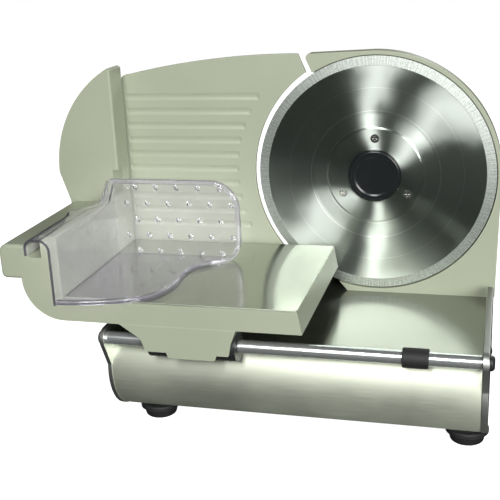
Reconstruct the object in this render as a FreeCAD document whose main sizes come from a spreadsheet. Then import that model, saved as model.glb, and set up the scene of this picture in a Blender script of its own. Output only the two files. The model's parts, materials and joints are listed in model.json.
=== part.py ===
import FreeCAD, Part

import math
import operator
import os

import Sketcher

# Electric deli slicer with a 9 inch blade. All sizes are in millimetres.
# The origin is the middle of the whole machine's footprint at table height: +X is to the right of a
# person facing the blade, +Y goes away from them and +Z is up. Every sub-part is drawn about the blade's
# centre, in the plane of its cutting edge. Its Placement moves that centre to (blade_x, blade_y, blade_z).

DIMENSIONS = {
    # where the blade's centre stands in the machine's own frame
    "blade_x": 99.0,
    "blade_y": 49.8,
    "blade_z": 210.0,
    # blade, hub cap and spindle
    "blade_radius": 114.3,
    "bevel_width": 8.8,
    "bevel_depth": 0.9,
    "blade_back": 4.4,
    "hub_face": 1.2,
    "hub_face_radius": 45.5,
    "pilot_radius": 8.0,
    "screw_circle": 36.0,
    "blade_screw_radius": 2.5,
    "blade_screw_head": 4.2,
    "hub_cap_radius": 25.5,
    "hub_cap_front": -3.6,
    "flange_radius": 44.0,
    "flange_back": 8.4,
    "spindle_radius": 7.5,
    "spindle_end": 72.0,
    "running_gap": 0.05,
    # bearing housing behind the blade
    "bearing_radius": 16.0,
    "bearing_width": 9.0,
    "front_bearing_y": 11.0,
    "rear_bearing_y": 45.0,
    "bearing_tube_radius": 20.0,
    "bearing_flange_radius": 32.0,
    # blade housing and the cover behind it
    "housing_radius": 119.0,
    "housing_right": 116.0,
    "housing_front": -1.0,
    "housing_back": 14.0,
    "recess_radius": 115.4,
    "recess_depth": 7.0,
    "housing_left_radius": 108.0,
    "cover_right": 104.0,
    "cover_left": -62.0,
    "cover_back": 80.0,
    "cover_wall": 2.5,
    # belt drive: the motor lies in the base
    "pulley_front": 56.5,
    "pulley_width": 12.0,
    "pulley_radius": 52.0,
    "motor_pulley_radius": 10.0,
    "pulley_lip": 2.5,
    "belt_thickness": 3.0,
    "motor_x": 40.0,
    "motor_z": -157.0,
    "motor_radius": 32.0,
    "motor_front": -35.0,
    "motor_back": 45.0,
    "motor_shaft_radius": 4.0,
    # base: a bent stainless sheet between two end plates
    "deck_top": -119.0,
    "sheet": 1.2,
    "base_left": -218.5,
    "base_right": 109.0,
    "base_back": 78.0,
    "nose_y": -115.0,
    "nose_z": -149.5,
    "nose_radius": 47.4,
    "wrap_bottom": -195.0,
    "base_bottom": -196.5,
    "left_plate_thickness": 4.0,
    "right_plate_thickness": 6.0,
    "plate_lip": 0.8,
    "plate_top": -103.5,
    # guide rod in front of the base
    "rod_y": -165.0,
    "rod_z": -113.5,
    "rod_radius": 6.0,
    "rod_boss_radius": 10.0,
    "rod_nut_radius": 6.5,
    "rod_nut_length": 4.0,
    "bumper_left": 44.6,
    "bumper_right": 66.5,
    "bumper_radius": 8.5,
    # feet
    "foot_left": -192.0,
    "foot_right": 97.0,
    "foot_front": -117.0,
    "foot_back": 52.0,
    "foot_radius": 19.0,
    "foot_height": 13.5,
    # gauge plate and the slide that sets the slice thickness
    "gauge_left": -256.5,
    "gauge_bottom": -114.0,
    "gauge_heel": -66.0,
    "gauge_face": 1.5,
    "gauge_thickness": 4.0,
    "gauge_arc": 119.0,
    "gauge_groove_depth": 1.0,
    "gauge_groove_pitch": 14.5,
    "gauge_groove_first": 77.0,
    "gauge_groove_height": 7.0,
    "gauge_groove_margin": 17.0,
    "slide_x": -150.0,
    "slide_z": -155.0,
    "slide_rod_spread": 25.0,
    "slide_rod_radius": 5.0,
    "knob_radius": 20.0,
    "knob_front": 80.0,
    "knob_depth": 20.0,
    # carriage: tray, left wing, rail and ear
    "tray_top": -71.5,
    "tray_sheet": 1.5,
    "tray_left": -252.5,
    "tray_right": -40.0,
    "tray_front": -180.0,
    "tray_back": -4.0,
    "apron_bottom": -93.0,
    "apron_flare": 3.5,
    "casting_wall": 3.0,
    "wing_left": -308.5,
    "wing_top": -24.0,
    "wing_lip_bottom": -55.5,
    "wing_arc": 36.5,
    "rail_top": -16.0,
    "rail_left": -267.0,
    "groove_left": -280.0,
    "groove_floor": -35.0,
    "ear_front": -32.0,
    "ear_left": -317.0,
    "ear_top": 109.5,
    "ear_widest": 6.0,
    "ear_arc": 117.0,
    "hook_window_left": -258.8,
    "hook_window_top": 9.0,
    # bracket, bush and roller that carry the tray
    "bracket_front": -180.0,
    "bracket_back": -151.0,
    "bush_left": -176.0,
    "bush_right": -96.0,
    "bush_radius": 13.2,
    "roller_x": -150.0,
    "roller_y": -30.0,
    "roller_radius": 8.0,
    "roller_width": 12.0,
    "roller_axle_radius": 3.0,
    # clear food pusher
    "pusher_face": -54.0,
    "pusher_wall": 3.0,
    "pusher_web": 2.5,
    "pusher_left": -250.0,
    "pusher_right": -121.0,
    "pusher_bottom": -71.2,
    "pusher_top": 6.0,
    "pusher_front": -199.5,
    "hook_shoulder": 7.5,
    "hook_rear_run": 24.0,
    "stud_radius": 2.2,
    "stud_length": 3.0,
    "stud_pitch": 21.4,
    "stud_row_pitch": 16.2,
    # switch and cable inlet on the back of the base
    "switch_x": -60.0,
    "switch_z": -158.0,
    "inlet_x": 78.0,
    "inlet_z": -172.0,
}

document = FreeCAD.newDocument("deli_slicer")
sheet = document.addObject("Spreadsheet::Sheet", "dims")
for row, (alias, number) in enumerate(DIMENSIONS.items(), start=1):
    sheet.set(f"A{row}", alias)
    sheet.set(f"B{row}", str(number))
    sheet.setAlias(f"B{row}", alias)
document.recompute()

OPERATIONS = {"+": operator.add, "-": operator.sub, "*": operator.mul, "/": operator.truediv}


class Size:
    """A length together with the sheet formula that gives it."""

    def __init__(self, value, formula):
        self.value = float(value)
        self.formula = formula

    def __add__(self, other):
        return combine(self, "+", other)

    def __radd__(self, other):
        return combine(other, "+", self)

    def __sub__(self, other):
        return combine(self, "-", other)

    def __rsub__(self, other):
        return combine(other, "-", self)

    def __mul__(self, other):
        return combine(self, "*", other)

    def __rmul__(self, other):
        return combine(other, "*", self)

    def __truediv__(self, other):
        return combine(self, "/", other)

    def __neg__(self):
        return combine(0, "-", self)


def size(number):
    """The Size of a plain number; a Size passes through."""
    if isinstance(number, Size):
        return number
    return Size(number, f"({number})")


def combine(left, sign, right):
    left = size(left)
    right = size(right)
    value = OPERATIONS[sign](left.value, right.value)
    return Size(value, f"({left.formula} {sign} {right.formula})")


def leg(hypotenuse, side):
    """The other leg of a right triangle."""
    square = hypotenuse * hypotenuse - side * side
    return Size(math.sqrt(square.value), f"sqrt({square.formula})")


class Sheet:
    """Attribute access to the sheet: d.blade_radius is that cell's Size."""

    def __getattr__(self, alias):
        return Size(sheet.get(alias), f"dims.{alias}")


d = Sheet()
sub_parts = []


def bind(item, prop, amount):
    """Sets a property and ties it to the sheet when its size comes from there."""
    amount = size(amount)
    if "dims." in amount.formula:
        item.setExpression(prop, amount.formula)
    elif not prop.startswith("Placement") and not prop.startswith("Attachment"):
        setattr(item, prop, amount.value)
    else:
        item.setExpression(prop, amount.formula)


def place(item, x=0, y=0, z=0):
    """Puts an item at a point given from the blade's centre."""
    bind(item, "Placement.Base.x", d.blade_x + x)
    bind(item, "Placement.Base.y", d.blade_y + y)
    bind(item, "Placement.Base.z", d.blade_z + z)
    return item


def finished(item, label):
    """Names a sub-part and puts it on the list to be written."""
    item.Label = label
    sub_parts.append(item)
    return item


# ---------------------------------------------------------------- sketches and features

PLANES = {"XY": "XY_Plane", "XZ": "XZ_Plane", "YZ": "YZ_Plane"}
NORMAL_SIGN = {"XY": 1, "XZ": -1, "YZ": 1}


class Stop:
    """A corner of an outline: reached by a line, or by an arc when it has a reach radius."""

    def __init__(self, x, y, rounding=None, reach=None, turn=1):
        self.x = size(x)
        self.y = size(y)
        self.rounding = rounding
        self.reach = reach
        self.turn = turn
        self.point = FreeCAD.Vector(self.x.value, self.y.value, 0)


def at(x, y, rounding=None):
    return Stop(x, y, rounding)


def arc_to(x, y, radius, turn):
    """Reaches (x, y) along an arc: turn is 1 anticlockwise, -1 clockwise."""
    return Stop(x, y, None, size(radius), turn)


def rectangle(left, right, low, high, rounding=None):
    """The four corners of a rectangle, all with the same rounding."""
    corners = ((left, low), (right, low), (right, high), (left, high))
    return [at(across, up, rounding) for across, up in corners]


def new_body(name):
    body = document.addObject("PartDesign::Body", name)
    place(body)
    return body


def new_sketch(body, name, plane, level):
    """An empty sketch on one of the body's own planes, moved to a level along the third axis."""
    sketch = body.newObject("Sketcher::SketchObject", name)
    support = [f for f in body.Origin.OriginFeatures if f.Role == PLANES[plane]][0]
    sketch.AttachmentSupport = [(support, "")]
    sketch.MapMode = "FlatFace"
    bind(sketch, "AttachmentOffset.Base.z", size(level) * NORMAL_SIGN[plane])
    return sketch


def arc_between(start, end, radius, turn):
    """The arc of that radius and turn, and the ends (start, finish) it was drawn with."""
    middle = (start + end) * 0.5
    chord = end - start
    rise = math.sqrt(max(radius ** 2 - (chord.Length / 2) ** 2, 0))
    side = FreeCAD.Vector(-chord.y, chord.x, 0).normalize() * rise * turn
    centre = middle + side
    first, last = (start, end) if turn > 0 else (end, start)
    angles = [math.atan2(p.y - centre.y, p.x - centre.x) for p in (first, last)]
    circle = Part.Circle(centre, FreeCAD.Vector(0, 0, 1), radius)
    return Part.ArcOfCircle(circle, angles[0], angles[1]), ((1, 2) if turn > 0 else (2, 1))


def corner_cut(before, corner, after, radius):
    """Where a corner's rounding leaves the first line and joins the second, and the way it turns."""
    back = (before - corner).normalize()
    ahead = (after - corner).normalize()
    half = back.getAngle(ahead) / 2
    run = radius / math.tan(half)
    turn = 1 if back.cross(ahead).z < 0 else -1
    return corner + back * run, corner + ahead * run, turn


def bind_datum(sketch, index, amount):
    if "dims." in amount.formula:
        sketch.setExpression(f"Constraints[{index}]", amount.formula)


def add_outline(sketch, stops):
    """Draws one closed outline and ties each corner and radius to the sheet."""
    count = len(stops)
    entries = [stop.point for stop in stops]
    exits = [stop.point for stop in stops]
    turns = [1] * count
    for i, stop in enumerate(stops):
        if stop.rounding is not None:
            before = stops[i - 1].point
            after = stops[(i + 1) % count].point
            entries[i], exits[i], turns[i] = corner_cut(before, stop.point, after, size(stop.rounding).value)
    edges = []
    for i, stop in enumerate(stops):
        start = exits[i - 1]
        if stop.reach is None:
            edge, ends = Part.LineSegment(start, entries[i]), (1, 2)
        else:
            edge, ends = arc_between(start, entries[i], stop.reach.value, stop.turn)
        edges.append((sketch.addGeometry(edge, False), ends))
    for i, stop in enumerate(stops):
        arriving, arriving_ends = edges[i]
        leaving, leaving_ends = edges[(i + 1) % count]
        if stop.reach is not None:
            index = sketch.addConstraint(Sketcher.Constraint("Radius", arriving, stop.reach.value))
            bind_datum(sketch, index, stop.reach)
        if stop.rounding is None:
            sketch.addConstraint(
                Sketcher.Constraint("Coincident", arriving, arriving_ends[1], leaving, leaving_ends[0])
            )
            fixed, fixed_end = leaving, leaving_ends[0]
        else:
            radius = size(stop.rounding)
            arc, ends = arc_between(entries[i], exits[i], radius.value, turns[i])
            bend = sketch.addGeometry(arc, False)
            fixed, fixed_end = sketch.addGeometry(Part.Point(stop.point), True), 1
            sketch.addConstraint([
                Sketcher.Constraint("Tangent", arriving, arriving_ends[1], bend, ends[0]),
                Sketcher.Constraint("Tangent", bend, ends[1], leaving, leaving_ends[0]),
                Sketcher.Constraint("PointOnObject", fixed, 1, arriving),
                Sketcher.Constraint("PointOnObject", fixed, 1, leaving),
            ])
            index = sketch.addConstraint(Sketcher.Constraint("Radius", bend, radius.value))
            bind_datum(sketch, index, radius)
        for kind, amount in (("DistanceX", stop.x), ("DistanceY", stop.y)):
            index = sketch.addConstraint(Sketcher.Constraint(kind, -1, 1, fixed, fixed_end, amount.value))
            bind_datum(sketch, index, amount)


def add_circle(sketch, x, y, radius):
    """Draws a circle and ties its centre and radius to the sheet."""
    x, y, radius = size(x), size(y), size(radius)
    circle = Part.Circle(FreeCAD.Vector(x.value, y.value, 0), FreeCAD.Vector(0, 0, 1), radius.value)
    index = sketch.addGeometry(circle, False)
    for kind, amount in (("DistanceX", x), ("DistanceY", y)):
        datum = sketch.addConstraint(Sketcher.Constraint(kind, -1, 1, index, 3, amount.value))
        bind_datum(sketch, datum, amount)
    datum = sketch.addConstraint(Sketcher.Constraint("Radius", index, radius.value))
    bind_datum(sketch, datum, radius)


def draw(sketch, shapes):
    """Outlines are lists of stops; circles are (x, y, radius)."""
    for shape in shapes:
        if isinstance(shape, list):
            add_outline(sketch, shape)
        else:
            add_circle(sketch, *shape)
    return sketch


def pad(body, name, plane, low, high, *shapes):
    """Adds the shapes to the body between two levels along the plane's third axis."""
    level = high if NORMAL_SIGN[plane] < 0 else low
    sketch = draw(new_sketch(body, f"{name}_sketch", plane, level), shapes)
    feature = body.newObject("PartDesign::Pad", name)
    feature.Profile = sketch
    bind(feature, "Length", size(high) - low)
    return feature


def pocket(body, name, plane, low, high, *shapes):
    """Cuts the shapes out of the body between two levels, and checks that something was cut."""
    document.recompute()
    volume = body.Shape.Volume
    level = low if NORMAL_SIGN[plane] < 0 else high
    sketch = draw(new_sketch(body, f"{name}_sketch", plane, level), shapes)
    feature = body.newObject("PartDesign::Pocket", name)
    feature.Profile = sketch
    bind(feature, "Length", size(high) - low)
    document.recompute()
    if body.Shape.Volume > volume - 0.5:
        raise RuntimeError(f"{name} cuts nothing")
    return feature


def turned(label, stops, x=0, y=0, z=0, plane="XY", axis="V_Axis"):
    """A body of revolution. On the XY plane its outline is (radius, y) and it turns about a line along Y."""
    body = new_body(label)
    place(body, x, y, z)
    sketch = draw(new_sketch(body, f"{label}_sketch", plane, 0), [stops])
    feature = body.newObject("PartDesign::Revolution", f"{label}_turn")
    feature.Profile = sketch
    feature.ReferenceAxis = (sketch, [axis])
    feature.Angle = 360
    return body


def repeat_along(body, features, axis_sketch, axis, span, count):
    """Repeats features along one of the sketch's axes, count of them over the span."""
    pattern = body.newObject("PartDesign::LinearPattern", f"{features[0].Name}_row")
    pattern.Originals = features
    pattern.Direction = (axis_sketch, [axis])
    bind(pattern, "Length", span)
    pattern.Occurrences = count
    body.Tip = pattern
    return pattern


def soften(body, name, radius, wanted):
    """Rounds the edges of the body's last feature that wanted(edge) accepts."""
    document.recompute()
    tip = body.Tip
    names = [f"Edge{i}" for i, edge in enumerate(tip.Shape.Edges, start=1) if wanted(edge)]
    feature = body.newObject("PartDesign::Fillet", name)
    feature.Base = (tip, names)
    bind(feature, "Radius", radius)
    return feature


# ---------------------------------------------------------------- primitives and booleans

AXIS_TURN = {
    "X": FreeCAD.Rotation(FreeCAD.Vector(0, 1, 0), 90),
    "Y": FreeCAD.Rotation(FreeCAD.Vector(1, 0, 0), -90),
    "Z": FreeCAD.Rotation(),
}


def rod(name, axis, x, y, z, radius, length):
    """A cylinder that starts at (x, y, z) and runs along +axis."""
    item = document.addObject("Part::Cylinder", name)
    bind(item, "Radius", radius)
    bind(item, "Height", length)
    item.Placement = FreeCAD.Placement(FreeCAD.Vector(), AXIS_TURN[axis])
    return place(item, x, y, z)


def cone(name, axis, x, y, z, start_radius, end_radius, length):
    item = document.addObject("Part::Cone", name)
    bind(item, "Radius1", start_radius)
    bind(item, "Radius2", end_radius)
    bind(item, "Height", length)
    item.Placement = FreeCAD.Placement(FreeCAD.Vector(), AXIS_TURN[axis])
    return place(item, x, y, z)


def block(name, low, high):
    """A box between two corners."""
    item = document.addObject("Part::Box", name)
    for prop, start, end in zip(("Length", "Width", "Height"), low, high):
        bind(item, prop, size(end) - start)
    return place(item, *low)


def prism(name, sides, axis, x, y, z, circumradius, length):
    item = document.addObject("Part::Prism", name)
    item.Polygon = sides
    bind(item, "Circumradius", circumradius)
    bind(item, "Height", length)
    item.Placement = FreeCAD.Placement(FreeCAD.Vector(), AXIS_TURN[axis])
    return place(item, x, y, z)


def joined(name, items):
    result = document.addObject("Part::MultiFuse", name)
    result.Shapes = items
    return result


def without(name, base, tools):
    """base less the tools."""
    result = document.addObject("Part::Cut", name)
    result.Base = base
    result.Tool = tools[0] if len(tools) == 1 else joined(f"{name}_tools", tools)
    return result


def grouped(label, items):
    """Identical fasteners or bars as one sub-part of separate solids."""
    result = document.addObject("Part::Compound", label)
    result.Links = items
    return finished(result, label)


def screw(name, axis, x, y, z, head_radius, head_length, shank_radius, shank_length):
    """A cheese-head screw: the head starts at (x, y, z), and the shank follows it along +axis.
    A negative shank length points the whole screw along -axis."""
    if size(shank_length).value > 0:
        head = rod(f"{name}_head", axis, x, y, z, head_radius, head_length)
        start, step = head_length, shank_length
    else:
        head = rod(f"{name}_head", axis, *along(axis, x, y, z, -size(head_length)), head_radius, head_length)
        start, step = size(shank_length) - head_length, -size(shank_length)
    shank = rod(f"{name}_shank", axis, *along(axis, x, y, z, start), shank_radius, step)
    return joined(name, [head, shank])


def along(axis, x, y, z, step):
    """(x, y, z) moved by step along an axis."""
    moved = {"X": (x + step, y, z), "Y": (x, y + step, z), "Z": (x, y, z + step)}
    return moved[axis]


# ---------------------------------------------------------------- blade, hub cap and spindle

BLADE_SCREW_ANGLES = (90, 210, 330)


def circle_points(radius, angles):
    """Points (x, z) at the given angles on a circle about the blade's centre."""
    return [
        (radius * round(math.cos(math.radians(a)), 6), radius * round(math.sin(math.radians(a)), 6))
        for a in angles
    ]


def make_blade():
    """A dished disc: flat hub, shallow hollow, then the rim ground back to its cutting edge."""
    bevel_inner = d.blade_radius - d.bevel_width
    disc = turned("blade_disc", [
        at(d.pilot_radius, d.hub_face),
        at(d.hub_face_radius, d.hub_face),
        at(d.hub_face_radius + 1.5, d.hub_face + 0.6),
        at(d.hub_face_radius + 14.5, d.hub_face + 1.0),
        at(bevel_inner, 0),
        at(d.blade_radius, d.bevel_depth),
        at(d.blade_radius, d.bevel_depth + 0.25),
        at(bevel_inner - 1.5, d.blade_back - 1.2),
        at(d.hub_face_radius + 16.5, d.blade_back),
        at(d.pilot_radius, d.blade_back),
    ])
    drills = []
    head_depth = d.blade_screw_head - d.blade_screw_radius
    for i, (x, z) in enumerate(circle_points(d.screw_circle, BLADE_SCREW_ANGLES)):
        drills.append(rod(f"blade_drill_{i}", "Y", x, 0, z, d.blade_screw_radius, d.blade_back + 1))
        drills.append(cone(f"blade_countersink_{i}", "Y", x, d.hub_face, z, d.blade_screw_head,
                           d.blade_screw_radius, head_depth))
    return finished(without("blade", disc, drills), "blade")


def make_blade_screws():
    """Three countersunk screws through the blade into the spindle flange, each with a cross recess."""
    screws = []
    head_depth = d.blade_screw_head - d.blade_screw_radius
    for i, (x, z) in enumerate(circle_points(d.screw_circle, BLADE_SCREW_ANGLES)):
        head = cone(f"blade_screw_head_{i}", "Y", x, d.hub_face, z, d.blade_screw_head, d.blade_screw_radius,
                    head_depth)
        shank = rod(f"blade_screw_shank_{i}", "Y", x, d.hub_face + head_depth, z, d.blade_screw_radius,
                    d.flange_back - d.hub_face - head_depth)
        slots = []
        for j, (wide, high) in enumerate(((2.2, 0.5), (0.5, 2.2))):
            slots.append(block(f"blade_screw_slot_{i}_{j}", (x - wide, d.hub_face - 0.1, z - high),
                               (x + wide, d.hub_face + 0.8, z + high)))
        screws.append(without(f"blade_screw_{i}", joined(f"blade_screw_solid_{i}", [head, shank]), slots))
    grouped("blade_screws", screws)


def make_hub_cap():
    """Moulded cap over the spindle nose: a rounded rim and a shallow dished face."""
    cap = turned("hub_cap", [
        at(0, d.hub_cap_front + 0.6),
        at(d.hub_cap_radius - 7.5, d.hub_cap_front + 0.6),
        at(d.hub_cap_radius - 6, d.hub_cap_front),
        at(d.hub_cap_radius - 2.5, d.hub_cap_front),
        arc_to(d.hub_cap_radius, d.hub_cap_front + 2.5, 2.5, 1),
        at(d.hub_cap_radius, d.hub_face),
        at(0, d.hub_face),
    ])
    finished(cap, "hub_cap")


def make_spindle():
    """Flanged shaft: the blade sits on its pilot and is screwed to its flange."""
    shaft = turned("spindle_turning", [
        at(0, d.hub_face + 0.8),
        at(d.pilot_radius - d.running_gap, d.hub_face + 0.8),
        at(d.pilot_radius - d.running_gap, d.blade_back),
        at(d.flange_radius, d.blade_back),
        at(d.flange_radius, d.flange_back),
        at(d.spindle_radius + 3, d.flange_back),
        at(d.spindle_radius + 3, d.front_bearing_y - 0.3),
        at(d.spindle_radius, d.front_bearing_y - 0.3),
        at(d.spindle_radius, d.spindle_end),
        at(0, d.spindle_end),
    ])
    taps = [
        rod(f"spindle_tap_{i}", "Y", x, d.blade_back - 1, z, d.blade_screw_radius, 10)
        for i, (x, z) in enumerate(circle_points(d.screw_circle, BLADE_SCREW_ANGLES))
    ]
    finished(without("blade_spindle", shaft, taps), "blade_spindle")


def make_bearings():
    """Two shielded ball bearings, each drawn as one closed ring."""
    for label, start in (("front_bearing", d.front_bearing_y), ("rear_bearing", d.rear_bearing_y)):
        bore = d.spindle_radius + d.running_gap
        ring = turned(label, rectangle(bore, d.bearing_radius, start, start + d.bearing_width))
        finished(ring, label)


def make_bearing_housing():
    """Cast tube and flange on the back of the blade housing; a bearing seats in each end."""
    flange_front = d.housing_back
    flange_back = d.housing_back + 5
    rear = d.rear_bearing_y + d.bearing_width
    waist = d.front_bearing_y + d.bearing_width
    tube = turned("bearing_housing_turning", [
        at(d.bearing_radius, d.front_bearing_y - 0.5),
        at(d.bearing_tube_radius, d.front_bearing_y - 0.5),
        at(d.bearing_tube_radius, flange_front),
        at(d.bearing_flange_radius, flange_front),
        at(d.bearing_flange_radius, flange_back),
        at(d.bearing_tube_radius, flange_back),
        at(d.bearing_tube_radius, rear),
        at(d.bearing_radius, rear),
        at(d.bearing_radius, d.rear_bearing_y),
        at(d.bearing_radius - 3, d.rear_bearing_y),
        at(d.bearing_radius - 3, waist),
        at(d.bearing_radius, waist),
    ])
    screws = []
    drills = []
    for i, (x, z) in enumerate(circle_points(d.bearing_flange_radius - 6, (30, 150, 270))):
        drills.append(rod(f"bearing_drill_{i}", "Y", x, flange_front - 1, z, 2, 7))
        screws.append(screw(f"bearing_screw_{i}", "Y", x, flange_back + 3, z, 3.5, 3, 2, -8))
    finished(without("bearing_housing", tube, drills), "bearing_housing")
    grouped("bearing_housing_screws", screws)


# ---------------------------------------------------------------- blade housing and rear cover

HOUSING_BOLTS = (-15, 85)


def make_blade_housing():
    """Painted casting round the blade: a plate recessed for the disc, with a foot on the deck."""
    body = new_body("blade_housing_casting")
    top_left = -67
    upper = leg(d.housing_left_radius, size(56))
    lower = leg(d.housing_left_radius, size(46))
    pad(body, "housing_plate", "XZ", d.housing_front, d.housing_back, [
        at(d.housing_right, d.deck_top),
        at(d.housing_right + 2.6, -10),
        arc_to(0, d.housing_radius, leg(d.housing_radius, size(0)), 1),
        at(top_left, d.housing_radius - 2.2, 4),
        at(-56, upper),
        arc_to(-46, -lower, d.housing_left_radius, 1),
        at(-28, d.deck_top),
    ])
    pocket(body, "housing_recess", "XZ", d.housing_front, d.housing_front + d.recess_depth,
           (0, 0, d.recess_radius))
    flange_well = d.flange_back + 0.6
    pocket(body, "housing_flange_well", "XZ", d.housing_front + 0.5, flange_well, (0, 0, d.flange_radius + 4))
    pocket(body, "housing_bore", "XZ", d.housing_front, d.housing_back + 1, (0, 0, d.bearing_tube_radius))
    foot_right = d.cover_right - d.cover_wall - 1
    pad(body, "housing_foot", "XZ", d.housing_back, d.housing_back + 22, rectangle(
        -28, foot_right, d.deck_top, d.deck_top + 6,
    ))
    drills = [
        rod(f"housing_tap_{i}", "Y", x, d.housing_back - 3, z, 2, 5)
        for i, (x, z) in enumerate(circle_points(d.bearing_flange_radius - 6, (30, 150, 270)))
    ]
    drills += [
        rod(f"housing_drill_{i}", "Z", x, d.housing_back + 12, d.deck_top - 1, 3, 9)
        for i, x in enumerate(HOUSING_BOLTS)
    ]
    finished(without("blade_housing", body, drills), "blade_housing")
    bolts = []
    for i, x in enumerate(HOUSING_BOLTS):
        head = prism(f"housing_bolt_head_{i}", 6, "Z", x, d.housing_back + 12, d.deck_top + 6, 5.8, 4)
        shank = rod(f"housing_bolt_shank_{i}", "Z", x, d.housing_back + 12, d.deck_top - 8, 3, 14)
        bolts.append(joined(f"housing_bolt_{i}", [head, shank]))
    grouped("housing_bolts", bolts)


COVER_SCREWS = ((-50, -100), (90, -100), (-48, 60), (62, 62))


def cover_outline(inset, floor):
    """The rear cover's outline, drawn smaller by an inset and closed at a floor level."""
    right = d.cover_right - inset
    left = d.cover_left + inset
    return [
        at(right, floor),
        at(right, 0),
        arc_to(0, right, right, 1),
        at(-34 + inset * 0.4, right - 6, 16 - inset),
        at(left, 76 - inset * 0.4, 20 - inset),
        at(left, floor),
    ]


def make_drive_cover():
    """Moulded cover behind the blade housing, open at the front and over the deck's belt slot."""
    body = new_body("drive_cover")
    inner_back = d.cover_back - d.cover_wall
    pad(body, "cover_block", "XZ", d.housing_back, d.cover_back, cover_outline(size(0), d.deck_top))
    rear = d.blade_y + d.cover_back
    soften(body, "cover_round", 6, lambda edge: all(
        abs(v.Point.y - rear.value + d.blade_y.value) < 0.01 for v in edge.Vertexes
    ) and edge.BoundBox.ZMax > d.deck_top.value + 1)
    pocket(body, "cover_hollow", "XZ", d.housing_back, inner_back,
           cover_outline(d.cover_wall, d.deck_top - 5))
    vent = pocket(body, "cover_vent", "XZ", inner_back - 1, d.cover_back + 1, [
        arc_to(-30, 30, 1.5001, 1),
        at(30, 30),
        arc_to(30, 33, 1.5001, 1),
        at(-30, 33),
    ])
    repeat_along(body, [vent], vent.Profile[0], "V_Axis", 48, 7)
    finished(body, "drive_cover")
    screws = []
    for i, (x, z) in enumerate(COVER_SCREWS):
        screws.append(rod(f"cover_screw_{i}", "Y", x, d.cover_back, z, 3.6, 1.6))
    grouped("cover_screws", screws)


# ---------------------------------------------------------------- belt drive

def pulley_outline(radius, bore):
    """(radius, y) outline of a flat-belt pulley with a lip on each side."""
    front = d.pulley_front
    back = d.pulley_front + d.pulley_width
    lip = 1.5
    return [
        at(bore, front),
        at(radius + d.pulley_lip, front),
        at(radius + d.pulley_lip, front + lip),
        at(radius, front + lip),
        at(radius, back - lip),
        at(radius + d.pulley_lip, back - lip),
        at(radius + d.pulley_lip, back),
        at(bore, back),
    ]


def make_blade_pulley():
    """Large pulley on the spindle, lightened by a ring of round holes."""
    disc = turned("blade_pulley_disc", pulley_outline(d.pulley_radius, d.spindle_radius))
    holes = [
        rod(f"blade_pulley_hole_{i}", "Y", x, d.pulley_front - 1, z, 9, d.pulley_width + 2)
        for i, (x, z) in enumerate(circle_points(d.pulley_radius * 0.6, range(0, 360, 60)))
    ]
    finished(without("blade_pulley", disc, holes), "blade_pulley")
    nut_front = d.pulley_front + d.pulley_width
    nut = prism("spindle_nut_blank", 6, "Y", 0, nut_front, 0, 13, 5)
    bore = rod("spindle_nut_bore", "Y", 0, nut_front - 1, 0, d.spindle_radius, 8)
    finished(without("spindle_nut", nut, [bore]), "spindle_nut")


def make_motor():
    """Motor in the base: ribbed can, shaft and small pulley, on a bracket from the bottom plate."""
    can = turned("motor_can", [
        at(d.motor_shaft_radius + d.running_gap, d.motor_front + 8),
        at(d.motor_shaft_radius + d.running_gap, d.motor_back + 4),
        at(11, d.motor_back + 4),
        at(11, d.motor_back),
        at(d.motor_radius - 4, d.motor_back),
        at(d.motor_radius, d.motor_back - 6),
        at(d.motor_radius, d.motor_front + 6),
        at(d.motor_radius - 4, d.motor_front),
        at(0, d.motor_front),
        at(0, d.motor_front + 8),
    ], d.motor_x, 0, d.motor_z)
    finished(can, "motor")
    shaft = rod("motor_shaft", "Y", d.motor_x, d.motor_front + 9, d.motor_z, d.motor_shaft_radius,
                d.pulley_front + d.pulley_width - d.motor_front - 7)
    finished(shaft, "motor_shaft")
    pulley = turned("motor_pulley", pulley_outline(d.motor_pulley_radius, d.motor_shaft_radius),
                    d.motor_x, 0, d.motor_z)
    finished(pulley, "motor_pulley")
    mount = new_body("motor_mount")
    half = d.motor_radius - 2
    pad(mount, "mount_plate", "XZ", d.motor_back, d.motor_back + 3, [
        at(d.motor_x - half, d.wrap_bottom),
        at(d.motor_x + half, d.wrap_bottom),
        at(d.motor_x + half, d.motor_z + 24, 8),
        at(d.motor_x - half, d.motor_z + 24, 8),
    ], (d.motor_x, d.motor_z, 11))
    pad(mount, "mount_foot", "XY", d.wrap_bottom, d.wrap_bottom + 3, rectangle(
        d.motor_x - half, d.motor_x + half, d.motor_back + 3, d.motor_back + 18,
    ))
    finished(mount, "motor_mount")


def make_drive_belt():
    """Flat belt round both pulleys, drawn as the hull of two discs less the hull of two smaller ones."""
    front = d.pulley_front.value + 1.7
    width = d.pulley_width.value - 3.4
    far = FreeCAD.Vector(d.motor_x.value, 0, d.motor_z.value)
    reach = far.Length
    along_line = FreeCAD.Vector(far).normalize()
    across = FreeCAD.Vector(along_line.z, 0, -along_line.x)

    def loop(extra):
        """The closed belt line, that much outside both pulleys."""
        big = d.pulley_radius.value + extra
        small = d.motor_pulley_radius.value + extra
        slope = (big - small) / reach
        rise = math.sqrt(1 - slope ** 2)
        starts = [along_line * slope * big + across * side * rise * big for side in (1, -1)]
        ends = [far + along_line * slope * small + across * side * rise * small for side in (1, -1)]
        edges = [
            Part.Arc(starts[1], along_line * -big, starts[0]).toShape(),
            Part.makeLine(starts[0], ends[0]),
            Part.Arc(ends[0], far + along_line * small, ends[1]).toShape(),
            Part.makeLine(ends[1], starts[1]),
        ]
        return Part.Face(Part.Wire(edges))

    gap = d.running_gap.value
    ring = loop(gap + d.belt_thickness.value).cut(loop(gap))
    belt = document.addObject("Part::Feature", "drive_belt")
    ring.translate(FreeCAD.Vector(0, front, 0))
    belt.Shape = ring.extrude(FreeCAD.Vector(0, width, 0))
    place(belt)
    finished(belt, "drive_belt")


# ---------------------------------------------------------------- base

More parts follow.
